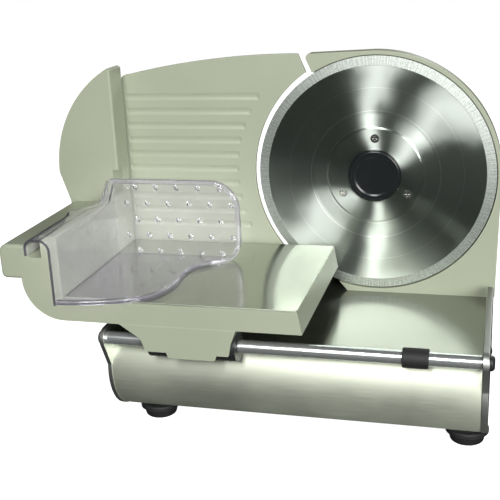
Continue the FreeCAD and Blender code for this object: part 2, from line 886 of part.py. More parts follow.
def make_base_shell():
    """Stainless sheet bent into the deck, the round front and the back, with the slots cut in it."""
    body = new_body("base_shell_sheet")
    inner = d.nose_radius - d.sheet
    back = d.base_back
    deck_rise = d.deck_top - d.nose_z
    foot_drop = d.nose_z - d.wrap_bottom
    pad(body, "shell_bend", "YZ", d.base_left, d.base_right, [
        at(back, d.wrap_bottom),
        at(back, d.deck_top, 12),
        at(d.nose_y - leg(d.nose_radius, deck_rise), d.deck_top),
        arc_to(d.nose_y - leg(d.nose_radius, foot_drop), d.wrap_bottom, d.nose_radius, 1),
        at(d.nose_y - leg(inner, foot_drop), d.wrap_bottom),
        arc_to(d.nose_y - leg(inner, deck_rise - d.sheet), d.deck_top - d.sheet, inner, -1),
        at(back - d.sheet, d.deck_top - d.sheet, 12 - d.sheet),
        at(back - d.sheet, d.wrap_bottom),
    ])
    stem = 13
    pocket(body, "deck_slots", "XY", d.deck_top - 5, d.deck_top + 1, rectangle(
        d.slide_x - stem, d.slide_x + stem, 6, 35,
    ), [
        at(1, d.pulley_front - 3),
        at(60, d.pulley_front - 3),
        at(60, d.pulley_front + d.pulley_width + 3),
        at(1, d.pulley_front + d.pulley_width + 3),
    ], *[(x, d.housing_back + 12, 3) for x in HOUSING_BOLTS])
    pocket(body, "back_holes", "XZ", back - 5, back + 1,
           (d.slide_x, d.slide_z, d.slide_rod_radius + 1),
           (d.inlet_x, d.inlet_z, 6),
           rectangle(d.switch_x - 9, d.switch_x + 9, d.switch_z - 14, d.switch_z + 14))
    finished(body, "base_shell")


def make_end_plate(label, left, thickness):
    """Cast end plate: stands proud of the sheet, rises in front of the housing and holds the rod."""
    body = new_body(label)
    round_radius = d.nose_radius + d.plate_lip
    nose_side = leg(d.rod_boss_radius, size(3.4))
    tangent_rise = 8
    pad(body, f"{label}_plate", "YZ", left, left + thickness, [
        at(d.base_back + d.plate_lip, d.base_bottom),
        at(d.base_back + d.plate_lip, d.deck_top, 13),
        at(-6, d.deck_top),
        at(-12, d.plate_top, 4),
        at(d.rod_y, d.plate_top),
        arc_to(d.rod_y - nose_side, d.rod_z - 3.4, d.rod_boss_radius, 1),
        at(d.nose_y - leg(round_radius, size(tangent_rise)), d.nose_z + tangent_rise),
        arc_to(d.nose_y - leg(round_radius, d.nose_z - d.base_bottom), d.base_bottom, round_radius, 1),
    ])
    rod_hole = (d.rod_y, d.rod_z, d.rod_radius - 2)
    pocket(body, f"{label}_rod_hole", "YZ", left - 1, left + thickness + 1, rod_hole)
    finished(body, label)


def make_bottom_plate():
    """Flat sheet that closes the base and takes the feet."""
    body = new_body("base_bottom_plate")
    front = d.nose_y - leg(d.nose_radius, d.nose_z - d.wrap_bottom)
    pad(body, "bottom_sheet", "XY", d.base_bottom, d.wrap_bottom, rectangle(
        d.base_left, d.base_right, front, d.base_back,
    ), *[(x, y, 2.5) for x in (d.foot_left, d.foot_right) for y in (d.foot_front, d.foot_back)])
    finished(body, "base_bottom_plate")


def make_feet():
    """Four rubber feet, wide at the top and drawn in to a ring at the floor, each with its screw."""
    corners = {
        "foot_front_left": (d.foot_left, d.foot_front),
        "foot_front_right": (d.foot_right, d.foot_front),
        "foot_rear_left": (d.foot_left, d.foot_back),
        "foot_rear_right": (d.foot_right, d.foot_back),
    }
    screws = []
    for label, (x, y) in corners.items():
        top = d.base_bottom
        floor = d.base_bottom - d.foot_height
        foot = turned(label, [
            at(2.5, top),
            at(2.5, top - 5),
            at(6, top - 5),
            at(6, floor + 1.5),
            at(7.5, floor),
            at(d.foot_radius - 6, floor),
            arc_to(d.foot_radius - 4, floor + 2, 2, 1),
            at(d.foot_radius - 3, floor + 6),
            arc_to(d.foot_radius, floor + 9, 3, -1),
            at(d.foot_radius, top - 2),
            arc_to(d.foot_radius - 2, top, 2, 1),
        ], x, y, 0, "XZ")
        finished(foot, label)
        screws.append(screw(f"{label}_screw", "Z", x, y, top - 8, 4.5, 3, 2.5, 14))
    grouped("foot_screws", screws)


def make_guide_rod():
    """Chromed rod on which the carriage slides, a cap nut at each end, and the rubber stop."""
    left = d.base_left
    right = d.base_right
    bar = rod("guide_rod_bar", "X", left, d.rod_y, d.rod_z, d.rod_radius, right - left)
    stud_radius = d.rod_radius - 2
    stud_end = d.rod_nut_length - 1.5
    stud_left = left - d.left_plate_thickness - stud_end
    stud_length = right + d.right_plate_thickness + stud_end - stud_left
    stud = rod("guide_rod_stud", "X", stud_left, d.rod_y, d.rod_z, stud_radius, stud_length)
    finished(joined("guide_rod", [bar, stud]), "guide_rod")
    for label, start, way in (
        ("rod_nut_left", left - d.left_plate_thickness, -1),
        ("rod_nut_right", right + d.right_plate_thickness, 1),
    ):
        nut = turned(label, [
            at(start, stud_radius),
            at(start, d.rod_nut_radius),
            at(start + 1.5 * way, d.rod_nut_radius),
            arc_to(start + d.rod_nut_length * way, stud_radius - 1, 3.5, -way),
            at(start + d.rod_nut_length * way, 0),
            at(start + stud_end * way, 0),
            at(start + stud_end * way, stud_radius),
        ], 0, d.rod_y, d.rod_z, "XZ", "H_Axis")
        finished(nut, label)
    bumper = turned("rod_bumper", [
        at(d.bumper_left, d.rod_radius),
        at(d.bumper_right, d.rod_radius),
        at(d.bumper_right, d.bumper_radius, 1),
        at(d.bumper_left, d.bumper_radius, 1),
    ], 0, d.rod_y, d.rod_z, "XZ", "H_Axis")
    finished(bumper, "rod_bumper")


# ---------------------------------------------------------------- switch and cable inlet

ROCKER_PIVOT_RADIUS = 1.5
ROCKER_PIVOT_DEPTH = 4


def make_switch():
    """Rocker switch in a frame on the back of the base, drawn with its lower end pressed out."""
    body = new_body("switch_bezel")
    back = d.base_back
    rim = rectangle(d.switch_x - 12, d.switch_x + 12, d.switch_z - 17, d.switch_z + 17, 3)
    well = rectangle(d.switch_x - 9, d.switch_x + 9, d.switch_z - 14, d.switch_z + 14)
    pad(body, "bezel_rim", "XZ", back, back + 2, rim)
    pad(body, "bezel_well", "XZ", back - 16, back, well)
    pocket(body, "bezel_opening", "XZ", back - 13, back + 3, rectangle(
        d.switch_x - 7, d.switch_x + 7, d.switch_z - 12.2, d.switch_z + 12.2,
    ))
    pivot_y = back - ROCKER_PIVOT_DEPTH
    pocket(body, "bezel_pivot_holes", "YZ", d.switch_x - 8.4, d.switch_x + 8.4,
           (pivot_y, d.switch_z, ROCKER_PIVOT_RADIUS + d.running_gap))
    finished(body, "switch_bezel")
    rocker = new_body("rocker")
    pad(rocker, "rocker_wedge", "YZ", d.switch_x - 6.9, d.switch_x + 6.9, [
        at(back - 9, d.switch_z - 5),
        at(back + 1.5, d.switch_z - 10.8),
        at(back + 4.2, d.switch_z - 10.2, 1),
        at(back + 1, d.switch_z),
        at(back + 1, d.switch_z + 10.6, 0.8),
        at(back - 2, d.switch_z + 10.6),
        at(back - 9, d.switch_z + 5),
    ])
    pad(rocker, "rocker_pivot", "YZ", d.switch_x - 8.2, d.switch_x + 8.2,
        (pivot_y, d.switch_z, ROCKER_PIVOT_RADIUS))
    finished(rocker, "rocker")


def make_cable_inlet():
    """Rubber grommet where the supply cable would enter the base."""
    back = d.base_back
    grommet = turned("cable_inlet", [
        at(3.6, back - 4),
        at(7.5, back - 4),
        at(7.5, back - d.sheet),
        at(6, back - d.sheet),
        at(6, back),
        at(9, back),
        at(9, back + 2),
        at(6, back + 6),
        at(3.6, back + 6),
    ], d.inlet_x, 0, d.inlet_z)
    finished(grommet, "cable_inlet")


# ---------------------------------------------------------------- gauge plate and its slide

GAUGE_GROOVES = 10


def make_gauge_plate():
    """Painted plate beside the blade: hollowed round the disc, with shallow grooves across its face."""
    body = new_body("gauge_plate")
    back = d.gauge_face + d.gauge_thickness
    pad(body, "gauge_blank", "XZ", d.gauge_face, back, [
        at(d.gauge_left, d.gauge_bottom),
        at(d.gauge_heel, d.gauge_bottom),
        at(d.gauge_heel, -leg(d.gauge_arc, d.gauge_heel)),
        arc_to(-65.5, leg(d.gauge_arc, size(65.5)), d.gauge_arc, -1),
        at(-73, 117),
        arc_to(d.gauge_left + 8.5, 99.4, 790, 1),
        arc_to(d.gauge_left, 92, 8, 1),
    ])
    grooves = []
    for i in range(GAUGE_GROOVES):
        middle = d.gauge_groove_first - d.gauge_groove_pitch * i
        half = d.gauge_groove_height / 2
        right = -leg(d.gauge_arc + d.gauge_groove_margin, middle)
        grooves.append([
            at(d.gauge_left + 5, middle - half),
            at(right, middle - half, 2.5),
            at(right, middle + half, 2.5),
            at(d.gauge_left + 5, middle + half),
        ])
    pocket(body, "gauge_grooves", "XZ", d.gauge_face, d.gauge_face + d.gauge_groove_depth, *grooves)
    finished(body, "gauge_plate")


def make_gauge_slide():
    """Bracket behind the gauge plate: it passes down through the deck to a block on two rods."""
    front = d.gauge_face + d.gauge_thickness
    spread = d.slide_rod_spread
    body = new_body("gauge_bracket")
    pad(body, "bracket_flange", "XZ", front, front + 3, rectangle(
        d.slide_x - 30, d.slide_x + 30, -100, 20, 5,
    ))
    pad(body, "bracket_stem", "XZ", front + 3, front + 9, rectangle(
        d.slide_x - 10, d.slide_x + 10, d.slide_z, 0,
    ))
    pad(body, "bracket_block", "XZ", front + 3, front + 30, rectangle(
        d.slide_x - spread - 12, d.slide_x + spread + 12, d.slide_z - 9, d.slide_z + 9,
    ))
    pocket(body, "bracket_bores", "XZ", front + 2, front + 31,
           (d.slide_x - spread, d.slide_z, d.slide_rod_radius + d.running_gap),
           (d.slide_x + spread, d.slide_z, d.slide_rod_radius + d.running_gap))
    finished(body, "gauge_bracket")
    support_front = -22
    support_holes = [(d.slide_x + side, d.slide_z, d.slide_rod_radius) for side in (-spread, spread)]
    rods = []
    for i, (x, z, radius) in enumerate(support_holes):
        rods.append(rod(f"gauge_rod_{i}", "Y", x, support_front, z, radius, d.base_back - d.sheet - support_front))
    grouped("gauge_rods", rods)
    support = new_body("gauge_rod_support")
    pad(support, "support_plate", "XZ", support_front, support_front + 4, [
        at(d.slide_x - spread - 12, d.slide_z - 10, 5),
        at(d.slide_x + spread + 12, d.slide_z - 10, 5),
        at(d.slide_x + spread + 12, d.deck_top - d.sheet),
        at(d.slide_x - spread - 12, d.deck_top - d.sheet),
    ], *support_holes)
    finished(support, "gauge_rod_support")
    screws = [
        rod(f"gauge_screw_{i}", "Y", d.slide_x + x, front + 3, z, 3.5, 2.2)
        for i, (x, z) in enumerate(((-22, 10), (22, 10), (-22, -85), (22, -85)))
    ]
    grouped("gauge_screws", screws)


def make_knob():
    """Fluted thickness knob on the back of the base, its spindle with the cam, and the scale ring."""
    scale = turned("thickness_scale", [
        at(d.slide_rod_radius + 1, d.base_back),
        at(d.knob_radius + 4, d.base_back),
        at(d.knob_radius + 4, d.base_back + 1),
        at(d.knob_radius + 3.5, d.base_back + 1.5),
        at(d.slide_rod_radius + 1, d.base_back + 1.5),
    ], d.slide_x, 0, d.slide_z)
    finished(scale, "thickness_scale")
    end = d.knob_front + d.knob_depth
    disc = turned("thickness_knob_turning", [
        at(d.slide_rod_radius, d.knob_front),
        at(d.knob_radius, d.knob_front),
        at(d.knob_radius - 1, end - 3),
        arc_to(d.knob_radius - 4, end, 3, 1),
        at(0, end),
        at(0, d.knob_front + 12),
        at(d.slide_rod_radius, d.knob_front + 12),
    ], d.slide_x, 0, d.slide_z)
    flutes = [
        rod(f"knob_flute_{i}", "Y", d.slide_x + x, d.knob_front - 1, d.slide_z + z, 2.2, d.knob_depth + 2)
        for i, (x, z) in enumerate(circle_points(d.knob_radius + 1, range(0, 360, 20)))
    ]
    finished(without("thickness_knob", disc, flutes), "thickness_knob")
    cam = turned("knob_spindle", [
        at(0, 54),
        at(14, 54),
        at(14, 60),
        at(d.slide_rod_radius, 60),
        at(d.slide_rod_radius, d.knob_front + 12),
        at(0, d.knob_front + 12),
    ], d.slide_x, 0, d.slide_z)
    finished(cam, "knob_spindle")


# ---------------------------------------------------------------- carriage

BRACKET_SCREWS = (-186, -104)


def make_carriage_casting():
    """Painted casting: apron under the tray, wing with the pusher's rail, and the tall ear."""
    body = new_body("carriage_casting")
    wall = d.casting_wall
    skin = d.tray_top - d.tray_sheet
    flare = d.tray_right + d.apron_flare
    pad(body, "casting_apron", "XZ", d.tray_front, d.tray_back, [
        at(d.tray_left, d.apron_bottom),
        at(flare, d.apron_bottom),
        at(d.tray_right, skin),
        at(d.tray_left, skin),
    ])
    pad(body, "casting_wing", "XZ", d.tray_front, d.tray_back, [
        arc_to(d.tray_left, d.apron_bottom, d.wing_arc + 0.8, 1),
        at(d.tray_left, d.rail_top, 2),
        at(d.rail_left, d.rail_top, 2),
        at(d.rail_left, d.groove_floor),
        at(d.groove_left, d.groove_floor),
        at(d.groove_left, d.wing_top),
        at(d.wing_left, d.wing_top, 8),
        at(d.wing_left, d.wing_lip_bottom, 5),
        at(d.tray_left - d.wing_arc, d.wing_lip_bottom),
    ])
    pad(body, "casting_ear", "XZ", d.ear_front, d.tray_back, [
        at(d.tray_left, d.wing_top - 20),
        at(d.tray_left, d.ear_top - 2),
        at(d.tray_left - 3, d.ear_top),
        arc_to(d.ear_left, d.ear_widest, d.ear_arc, 1),
        at(d.wing_left + 1, d.wing_top),
        at(d.wing_left + 1, d.wing_top - 20),
    ])
    pocket(body, "casting_hook_window", "XZ", d.ear_front - 1, d.tray_back - wall, [
        at(d.tray_left + 1, d.rail_top),
        at(d.hook_window_left, d.rail_top),
        at(d.hook_window_left, d.hook_window_top),
        at(d.tray_left + 1, d.hook_window_top),
    ])
    pocket(body, "casting_ear_hollow", "XZ", d.ear_front + wall, d.tray_back + 1, [
        at(d.hook_window_left - wall, d.wing_top + wall),
        at(d.hook_window_left - wall, d.hook_window_top + wall),
        at(d.tray_left - wall, d.hook_window_top + wall),
        at(d.tray_left - wall, d.ear_top - wall * 2),
        arc_to(d.ear_left + wall + 1, d.ear_widest, d.ear_arc - wall, 1),
        at(d.wing_left + wall * 2, d.wing_top + wall),
    ])
    pocket(body, "casting_apron_hollow", "XY", d.apron_bottom - 1, skin - wall, rectangle(
        d.tray_left - 12, d.tray_right - wall, d.tray_front + wall, d.tray_back - wall,
    ))
    for make, name, low, high, radius in (
        (pad, "casting_bosses", d.apron_bottom, skin - wall, 7),
        (pocket, "casting_screw_seats", skin - 4, skin + 1, 4.6),
        (pocket, "casting_screw_holes", d.apron_bottom - 1, skin + 1, 2.5),
    ):
        make(body, name, "XY", low, high, *[(x, d.rod_y, radius) for x in BRACKET_SCREWS])
    front_corner = d.tray_front.value
    soften(body, "casting_front_corner", 3, lambda edge: (
        abs(edge.BoundBox.XMax - d.wing_left.value) < 0.05
        and abs(edge.BoundBox.YMax - front_corner) < 0.05
        and edge.BoundBox.ZLength > 5
    ))
    soften(body, "casting_ear_edge", 2.5, lambda edge: (
        abs(edge.BoundBox.YMax - d.ear_front.value) < 0.05
        and abs(edge.BoundBox.YMin - d.ear_front.value) < 0.05
        and edge.BoundBox.ZMax > d.hook_window_top.value + 20
        and abs(edge.BoundBox.XMin - d.tray_left.value) < 0.05
    ))
    finished(body, "carriage_casting")


def make_tray_plate():
    """Stainless sheet on top of the casting, on which the food slides."""
    body = new_body("tray_plate")
    skin = d.tray_top - d.tray_sheet
    pad(body, "tray_sheet_pad", "XY", skin, d.tray_top, [
        at(d.tray_left, d.tray_front),
        at(d.tray_right, d.tray_front, 2),
        at(d.tray_right, d.tray_back, 2),
        at(d.tray_left, d.tray_back),
    ])
    finished(body, "tray_plate")


def make_carriage_bracket():
    """Tapered saddle under the front of the tray: it straddles the rod's bush and is open below it."""
    body = new_body("carriage_bracket")
    shoulder = d.rod_z - 4
    lip = d.rod_z - 9
    pad(body, "carrier_block", "XZ", d.bracket_front, d.bracket_back, [
        at(-200, d.apron_bottom),
        at(-181, -106, 4),
        at(-177, shoulder, 2),
        at(-158, shoulder),
        at(-156, lip, 2),
        at(-114, lip, 2),
        at(-112, shoulder),
        at(-101, shoulder, 2),
        at(-99, -106, 3),
        at(-94, d.apron_bottom),
    ])
    bore = d.bush_radius + d.running_gap
    pocket(body, "carrier_bore", "YZ", -205, -85, (d.rod_y, d.rod_z, bore))
    pocket(body, "carrier_mouth", "YZ", -205, -85, [
        at(d.rod_y - bore, d.rod_z),
        at(d.rod_y - bore, d.rod_z - 12),
        at(d.bracket_back + 1, d.rod_z - 12),
        at(d.bracket_back + 1, d.rod_z + 5.5),
        at(d.rod_y, d.rod_z + 5.5),
        at(d.rod_y, d.rod_z),
    ])
    pocket(body, "carrier_taps", "XY", d.apron_bottom - 7, d.apron_bottom + 1,
           *[(x, d.rod_y, 2.5) for x in BRACKET_SCREWS])
    finished(body, "carriage_bracket")
    skin = d.tray_top - d.tray_sheet
    grouped("bracket_screws", [
        screw(f"bracket_screw_{i}", "Z", size(x), d.rod_y, skin - 0.2, 4.5, 3.5, 2.5,
              d.apron_bottom - 6.5 - skin + 3.7)
        for i, x in enumerate(BRACKET_SCREWS)
    ])


def make_glide_bush():
    """Black plastic bush that slides on the rod, grooved where its ends show."""
    left = d.bush_left
    right = d.bush_right
    bore = d.rod_radius + d.running_gap
    groove = 0.8
    stops = [at(left, bore), at(right, bore), at(right, d.bush_radius)]
    for i in range(4):
        x = right - 2 - i * 3
        stops += [at(x, d.bush_radius), at(x, d.bush_radius - groove), at(x - 1, d.bush_radius - groove),
                  at(x - 1, d.bush_radius)]
    for i in range(5):
        x = left + 15 - i * 3
        stops += [at(x, d.bush_radius), at(x, d.bush_radius - groove), at(x - 1, d.bush_radius - groove),
                  at(x - 1, d.bush_radius)]
    stops.append(at(left, d.bush_radius))
    bush = turned("glide_bush", stops, 0, d.rod_y, d.rod_z, "XZ", "H_Axis")
    finished(bush, "glide_bush")


def make_roller():
    """Roller under the back of the tray that runs on the deck, with its fork and axle."""
    skin = d.tray_top - d.tray_sheet - d.casting_wall
    centre_z = d.deck_top + d.roller_radius + d.running_gap
    half = d.roller_width / 2
    fork = new_body("roller_fork")
    near = d.roller_y - half - 4
    far = d.roller_y + half + 4
    pad(fork, "fork_top", "XY", skin - 3, skin, rectangle(d.roller_x - 9, d.roller_x + 9, near, far))
    cheek = [
        at(d.roller_x - 9, skin - 3),
        at(d.roller_x - 5, centre_z - 5, 3),
        at(d.roller_x + 5, centre_z - 5, 3),
        at(d.roller_x + 9, skin - 3),
    ]
    axle_hole = (d.roller_x, centre_z, d.roller_axle_radius)
    pad(fork, "fork_near_cheek", "XZ", near, near + 3, cheek, axle_hole)
    pad(fork, "fork_far_cheek", "XZ", far - 3, far, cheek, axle_hole)
    finished(fork, "roller_fork")
    finished(rod("roller_axle", "Y", d.roller_x, near - 1, centre_z, d.roller_axle_radius, far - near + 2),
             "roller_axle")
    roller = turned("roller", [
        at(d.roller_axle_radius + d.running_gap, d.roller_y - half),
        at(d.roller_radius, d.roller_y - half, 1),
        at(d.roller_radius, d.roller_y + half, 1),
        at(d.roller_axle_radius + d.running_gap, d.roller_y + half),
    ], d.roller_x, 0, centre_z)
    finished(roller, "roller")


# ---------------------------------------------------------------- food pusher

def make_pusher():
    """Clear food pusher: upright plate with studs, side wall with a hook over the rail, and floor web."""
    wall = d.pusher_wall
    face = d.pusher_face
    back = face - wall
    bottom = d.pusher_bottom
    hook_tip = d.rail_left - 5
    shoulder = d.pusher_left - d.hook_shoulder
    hook_end = back - d.hook_rear_run
    plate = new_body("pusher_plate")
    pad(plate, "plate_blank", "XZ", back, face, [
        at(d.pusher_left, bottom),
        at(d.pusher_right, bottom, 18),
        at(d.pusher_right, d.pusher_top, 28),
        at(shoulder, d.pusher_top, 7),
        at(shoulder, d.rail_top + 1),
        at(d.pusher_left, d.rail_top + 1),
    ])
    first_row = bottom + d.stud_radius * 2
    for name, first, columns, rows, lift in (
        ("plate_studs", d.pusher_left + 24, 5, 3, 0),
        ("plate_offset_studs", d.pusher_left + 14, 6, 2, d.stud_row_pitch),
    ):
        stud = pad(plate, name, "XZ", face, face + d.stud_length, (first, first_row + lift, d.stud_radius))
        grid = plate.newObject("PartDesign::MultiTransform", f"{name}_grid")
        grid.Originals = [stud]
        across = plate.newObject("PartDesign::LinearPattern", f"{name}_columns")
        across.Direction = (stud.Profile[0], ["H_Axis"])
        bind(across, "Length", d.stud_pitch * (columns - 1))
        across.Occurrences = columns
        upward = plate.newObject("PartDesign::LinearPattern", f"{name}_rows")
        upward.Direction = (stud.Profile[0], ["V_Axis"])
        bind(upward, "Length", d.stud_row_pitch * (rows - 1) * 2)
        upward.Occurrences = rows
        grid.Transformations = [across, upward]
        plate.Tip = grid
    finished(plate, "pusher_plate")
    side = new_body("pusher_side")
    pad(side, "side_wall", "YZ", d.pusher_left, d.pusher_left + wall, [
        at(d.pusher_front, bottom),
        at(back, bottom),
        at(back, d.rail_top + 3),
        at(d.pusher_front, d.rail_top + 3, 10),
    ])
    pad(side, "side_hook", "XZ", d.pusher_front + 12, hook_end, [
        at(d.pusher_left, d.rail_top + 1),
        at(d.pusher_left, d.rail_top + 3),
        at(hook_tip - 2, d.rail_top + 3),
        at(hook_tip - 2, d.groove_floor + 4),
        at(hook_tip + 0.5, d.groove_floor + 4),
        at(hook_tip + 0.5, d.rail_top + 1),
    ])
    pad(side, "side_hook_rear", "XZ", hook_end, back, rectangle(
        shoulder, d.pusher_left, d.rail_top + 1, d.rail_top + 3,
    ))
    finished(side, "pusher_side")
    web = new_body("pusher_floor")
    pad(web, "floor_web", "XY", bottom, bottom + d.pusher_web, [
        at(d.pusher_left + wall, back),
        at(d.pusher_left + wall, d.pusher_front),
        at(d.pusher_left + 22, d.pusher_front),
        arc_to(d.pusher_left + 93, d.pusher_front + 88, 104, 1),
        arc_to(d.pusher_right - 20, back, 62, -1),
    ])
    finished(web, "pusher_floor")


# ---------------------------------------------------------------- the whole machine

make_blade()
make_blade_screws()
make_hub_cap()
make_spindle()
make_bearings()
make_bearing_housing()
make_blade_housing()
make_drive_cover()
make_blade_pulley()
make_motor()
make_drive_belt()
make_base_shell()
make_end_plate("left_end_plate", d.base_left - d.left_plate_thickness, d.left_plate_thickness)
make_end_plate("right_end_plate", d.base_right, d.right_plate_thickness)
make_bottom_plate()
make_feet()
make_guide_rod()
make_switch()
make_cable_inlet()
make_gauge_plate()
make_gauge_slide()
make_knob()
make_carriage_casting()
make_tray_plate()
make_carriage_bracket()
make_glide_bush()
make_roller()
make_pusher()
document.recompute()

for item in document.Objects:
    if "Invalid" in item.State or "Error" in item.State:
        raise RuntimeError(f"{item.Name} failed: {item.State}")
for part in sub_parts:
    if part.Shape.isNull() or not part.Shape.isValid():
        raise RuntimeError(f"{part.Label} has no valid shape")

os.makedirs("parts", exist_ok=True)
overall = FreeCAD.BoundBox()
for part in sub_parts:
    part.Shape.exportStep(f"parts/{part.Label}.step")
    overall.add(part.Shape.BoundBox)
print(f"{len(sub_parts)} sub-parts, box {overall}")
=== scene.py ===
import json
import math

import bmesh
import bpy
from mathutils import Matrix, Vector

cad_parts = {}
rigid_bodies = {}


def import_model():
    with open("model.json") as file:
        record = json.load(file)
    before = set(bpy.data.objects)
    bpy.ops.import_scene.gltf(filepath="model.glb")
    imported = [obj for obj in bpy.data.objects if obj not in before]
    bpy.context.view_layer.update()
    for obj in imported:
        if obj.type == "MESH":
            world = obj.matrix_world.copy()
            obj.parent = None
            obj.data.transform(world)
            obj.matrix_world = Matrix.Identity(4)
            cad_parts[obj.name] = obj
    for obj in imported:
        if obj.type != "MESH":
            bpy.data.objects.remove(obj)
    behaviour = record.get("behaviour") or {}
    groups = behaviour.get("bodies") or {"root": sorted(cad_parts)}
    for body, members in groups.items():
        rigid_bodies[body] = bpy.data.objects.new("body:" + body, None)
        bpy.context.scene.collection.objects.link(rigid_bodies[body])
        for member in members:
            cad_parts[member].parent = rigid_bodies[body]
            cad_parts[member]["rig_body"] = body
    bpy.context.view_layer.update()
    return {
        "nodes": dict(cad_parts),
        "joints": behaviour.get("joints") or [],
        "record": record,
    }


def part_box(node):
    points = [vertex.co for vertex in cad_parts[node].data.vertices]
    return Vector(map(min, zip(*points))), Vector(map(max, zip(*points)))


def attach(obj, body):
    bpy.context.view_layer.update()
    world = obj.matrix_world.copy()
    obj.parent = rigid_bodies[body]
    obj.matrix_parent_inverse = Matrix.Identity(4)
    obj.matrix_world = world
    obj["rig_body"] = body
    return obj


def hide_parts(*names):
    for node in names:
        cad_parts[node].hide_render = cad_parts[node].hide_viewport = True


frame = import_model()
nodes = frame["nodes"]

# Electric deli slicer. Everything is in metres, in the machine's own frame: +X to the right of a person
# facing the blade, +Y away from them, +Z up.

MM = 0.001
blade_centre = Vector(next(j for j in frame["joints"] if j["name"] == "blade_spin")["pos_m"])


# ---------------------------------------------------------------- camera, lights and floor

CAMERA_FROM_BLADE = Vector((0.1175, -0.8702, 0.2120))
CAMERA_YAW = math.radians(-15.78)
CAMERA_PITCH = math.radians(17.93)
CAMERA_ROLL = math.radians(2.72)
LENS = 66.58


def make_camera():
    """A long lens from the front right, turned to the left and down onto the machine."""
    forward = Vector((
        math.sin(CAMERA_YAW) * math.cos(CAMERA_PITCH),
        math.cos(CAMERA_YAW) * math.cos(CAMERA_PITCH),
        -math.sin(CAMERA_PITCH),
    ))
    level = Vector((math.cos(CAMERA_YAW), -math.sin(CAMERA_YAW), 0))
    down = forward.cross(level)
    right = level * math.cos(CAMERA_ROLL) + down * math.sin(CAMERA_ROLL)
    up = level * math.sin(CAMERA_ROLL) - down * math.cos(CAMERA_ROLL)
    data = bpy.data.cameras.new("camera")
    data.lens = LENS
    data.sensor_width = 36
    camera = bpy.data.objects.new("camera", data)
    turn = Matrix((right, up, -forward)).transposed().to_4x4()
    camera.matrix_world = Matrix.Translation(blade_centre + CAMERA_FROM_BLADE) @ turn
    bpy.context.scene.collection.objects.link(camera)
    bpy.context.scene.camera = camera


# name: (place, width, height, watts)
SOFTBOXES = {
    "front_softbox": ((-0.15, -1.7, 1.25), 0.45, 0.9, 21),
    "right_softbox": ((1.0, -1.55, 0.68), 0.9, 0.7, 27),
    "back_softbox": ((0.9, 2.1, 1.7), 1.2, 0.8, 34),
}
SOFTBOX_AIM = Vector((0, 0, 0.14))
ROOM_GREY = (0.022, 0.026, 0.023, 1)
BACKDROP_WHITE = (1, 1, 1, 1)
FLOOR_HALF = 3.0
FLOOR_GAP = 0.0005


def make_softbox(name, place, width, height, watts):
    """A rectangular softbox that faces the machine."""
    data = bpy.data.lights.new(name, "AREA")
    data.shape = "RECTANGLE"
    data.size = width
    data.size_y = height
    data.energy = watts
    light = bpy.data.objects.new(name, data)
    light.location = place
    light.rotation_euler = (SOFTBOX_AIM - light.location).to_track_quat("-Z", "Y").to_euler()
    bpy.context.scene.collection.objects.link(light)


def make_world():
    """A plain room: a dark grey for light and reflections, a white backdrop for the view."""
    world = bpy.data.worlds.new("studio")
    bpy.context.scene.world = world
    world.use_nodes = True
    tree = world.node_tree
    tree.nodes.clear()
    paths = add(tree, "LightPath")
    room = add(tree, "Background", {"Color": ROOM_GREY, "Strength": 1.0})
    backdrop = add(tree, "Background", {"Color": BACKDROP_WHITE, "Strength": 1.0})
    seen = paths.outputs["Is Camera Ray"]
    mix = add(tree, "MixShader", {0: seen, 1: room.outputs[0], 2: backdrop.outputs[0]})
    add(tree, "OutputWorld", {"Surface": mix.outputs[0]})


def make_floor():
    """A large flat sheet just under the feet."""
    mesh = bpy.data.meshes.new("floor")
    corners = [(x * FLOOR_HALF, y * FLOOR_HALF, 0) for x, y in ((-1, -1), (1, -1), (1, 1), (-1, 1))]
    mesh.from_pydata(corners, [], [(0, 1, 2, 3)])
    floor = bpy.data.objects.new("floor", mesh)
    bpy.context.scene.collection.objects.link(floor)
    floor.location.z = -FLOOR_GAP
    mesh.materials.append(floor_paper())


# ---------------------------------------------------------------- shader building

def feed(tree, socket, value):
    """Links a socket, or sets a plain value."""
    if isinstance(value, bpy.types.NodeSocket):
        tree.links.new(value, socket)
    else:
        socket.default_value = value


def add(tree, kind, inputs=None, **settings):
    """A new shader node with its settings and its inputs."""
    node = tree.nodes.new(f"ShaderNode{kind}")
    for key, value in settings.items():
        setattr(node, key, value)
    for key, value in (inputs or {}).items():
        feed(tree, node.inputs[key], value)
    return node


def calculate(tree, operation, *values):
    """One Math node, with sockets or plain numbers in."""
    return add(tree, "Math", dict(enumerate(values)), operation=operation).outputs[0]


def new_material(name, colour, **inputs):
    """A Principled material. Returns it with its tree and shader."""
    material = bpy.data.materials.new(name)
    material.use_nodes = True
    tree = material.node_tree
    shader = tree.nodes["Principled BSDF"]
    feed(tree, shader.inputs["Base Color"], (*colour, 1))
    for key, value in inputs.items():
        feed(tree, shader.inputs[key.replace("_", " ")], value)
    return material, tree, shader


def object_noise(tree, scale, stretch=(1, 1, 1), detail=2.0):
    """Noise in the object's own coordinates, stretched along the axes."""
    coordinates = add(tree, "TexCoord").outputs["Object"]
    mapped = add(tree, "Mapping", {"Vector": coordinates, "Scale": stretch}).outputs[0]
    return add(tree, "TexNoise", {"Vector": mapped, "Scale": scale, "Detail": detail}).outputs["Fac"]


def spread(tree, value, low, high, out_low, out_high):
    """Maps low...high onto out_low...out_high."""
    return add(tree, "MapRange", {"Value": value, 1: low, 2: high, 3: out_low, 4: out_high}).outputs[0]


def blended(tree, factor, first, second):
    """A colour between two colours, each a socket or four numbers."""
    return add(tree, "Mix", {0: factor, 6: first, 7: second}, data_type="RGBA").outputs[2]


def between(tree, factor, first, second):
    """A number between two numbers or sockets."""
    return add(tree, "Mix", {0: factor, 2: first, 3: second}, data_type="FLOAT").outputs[0]


def tinted(tree, factor, dark, light):
    """A colour between two plain RGB colours."""
    return blended(tree, factor, (*dark, 1), (*light, 1))


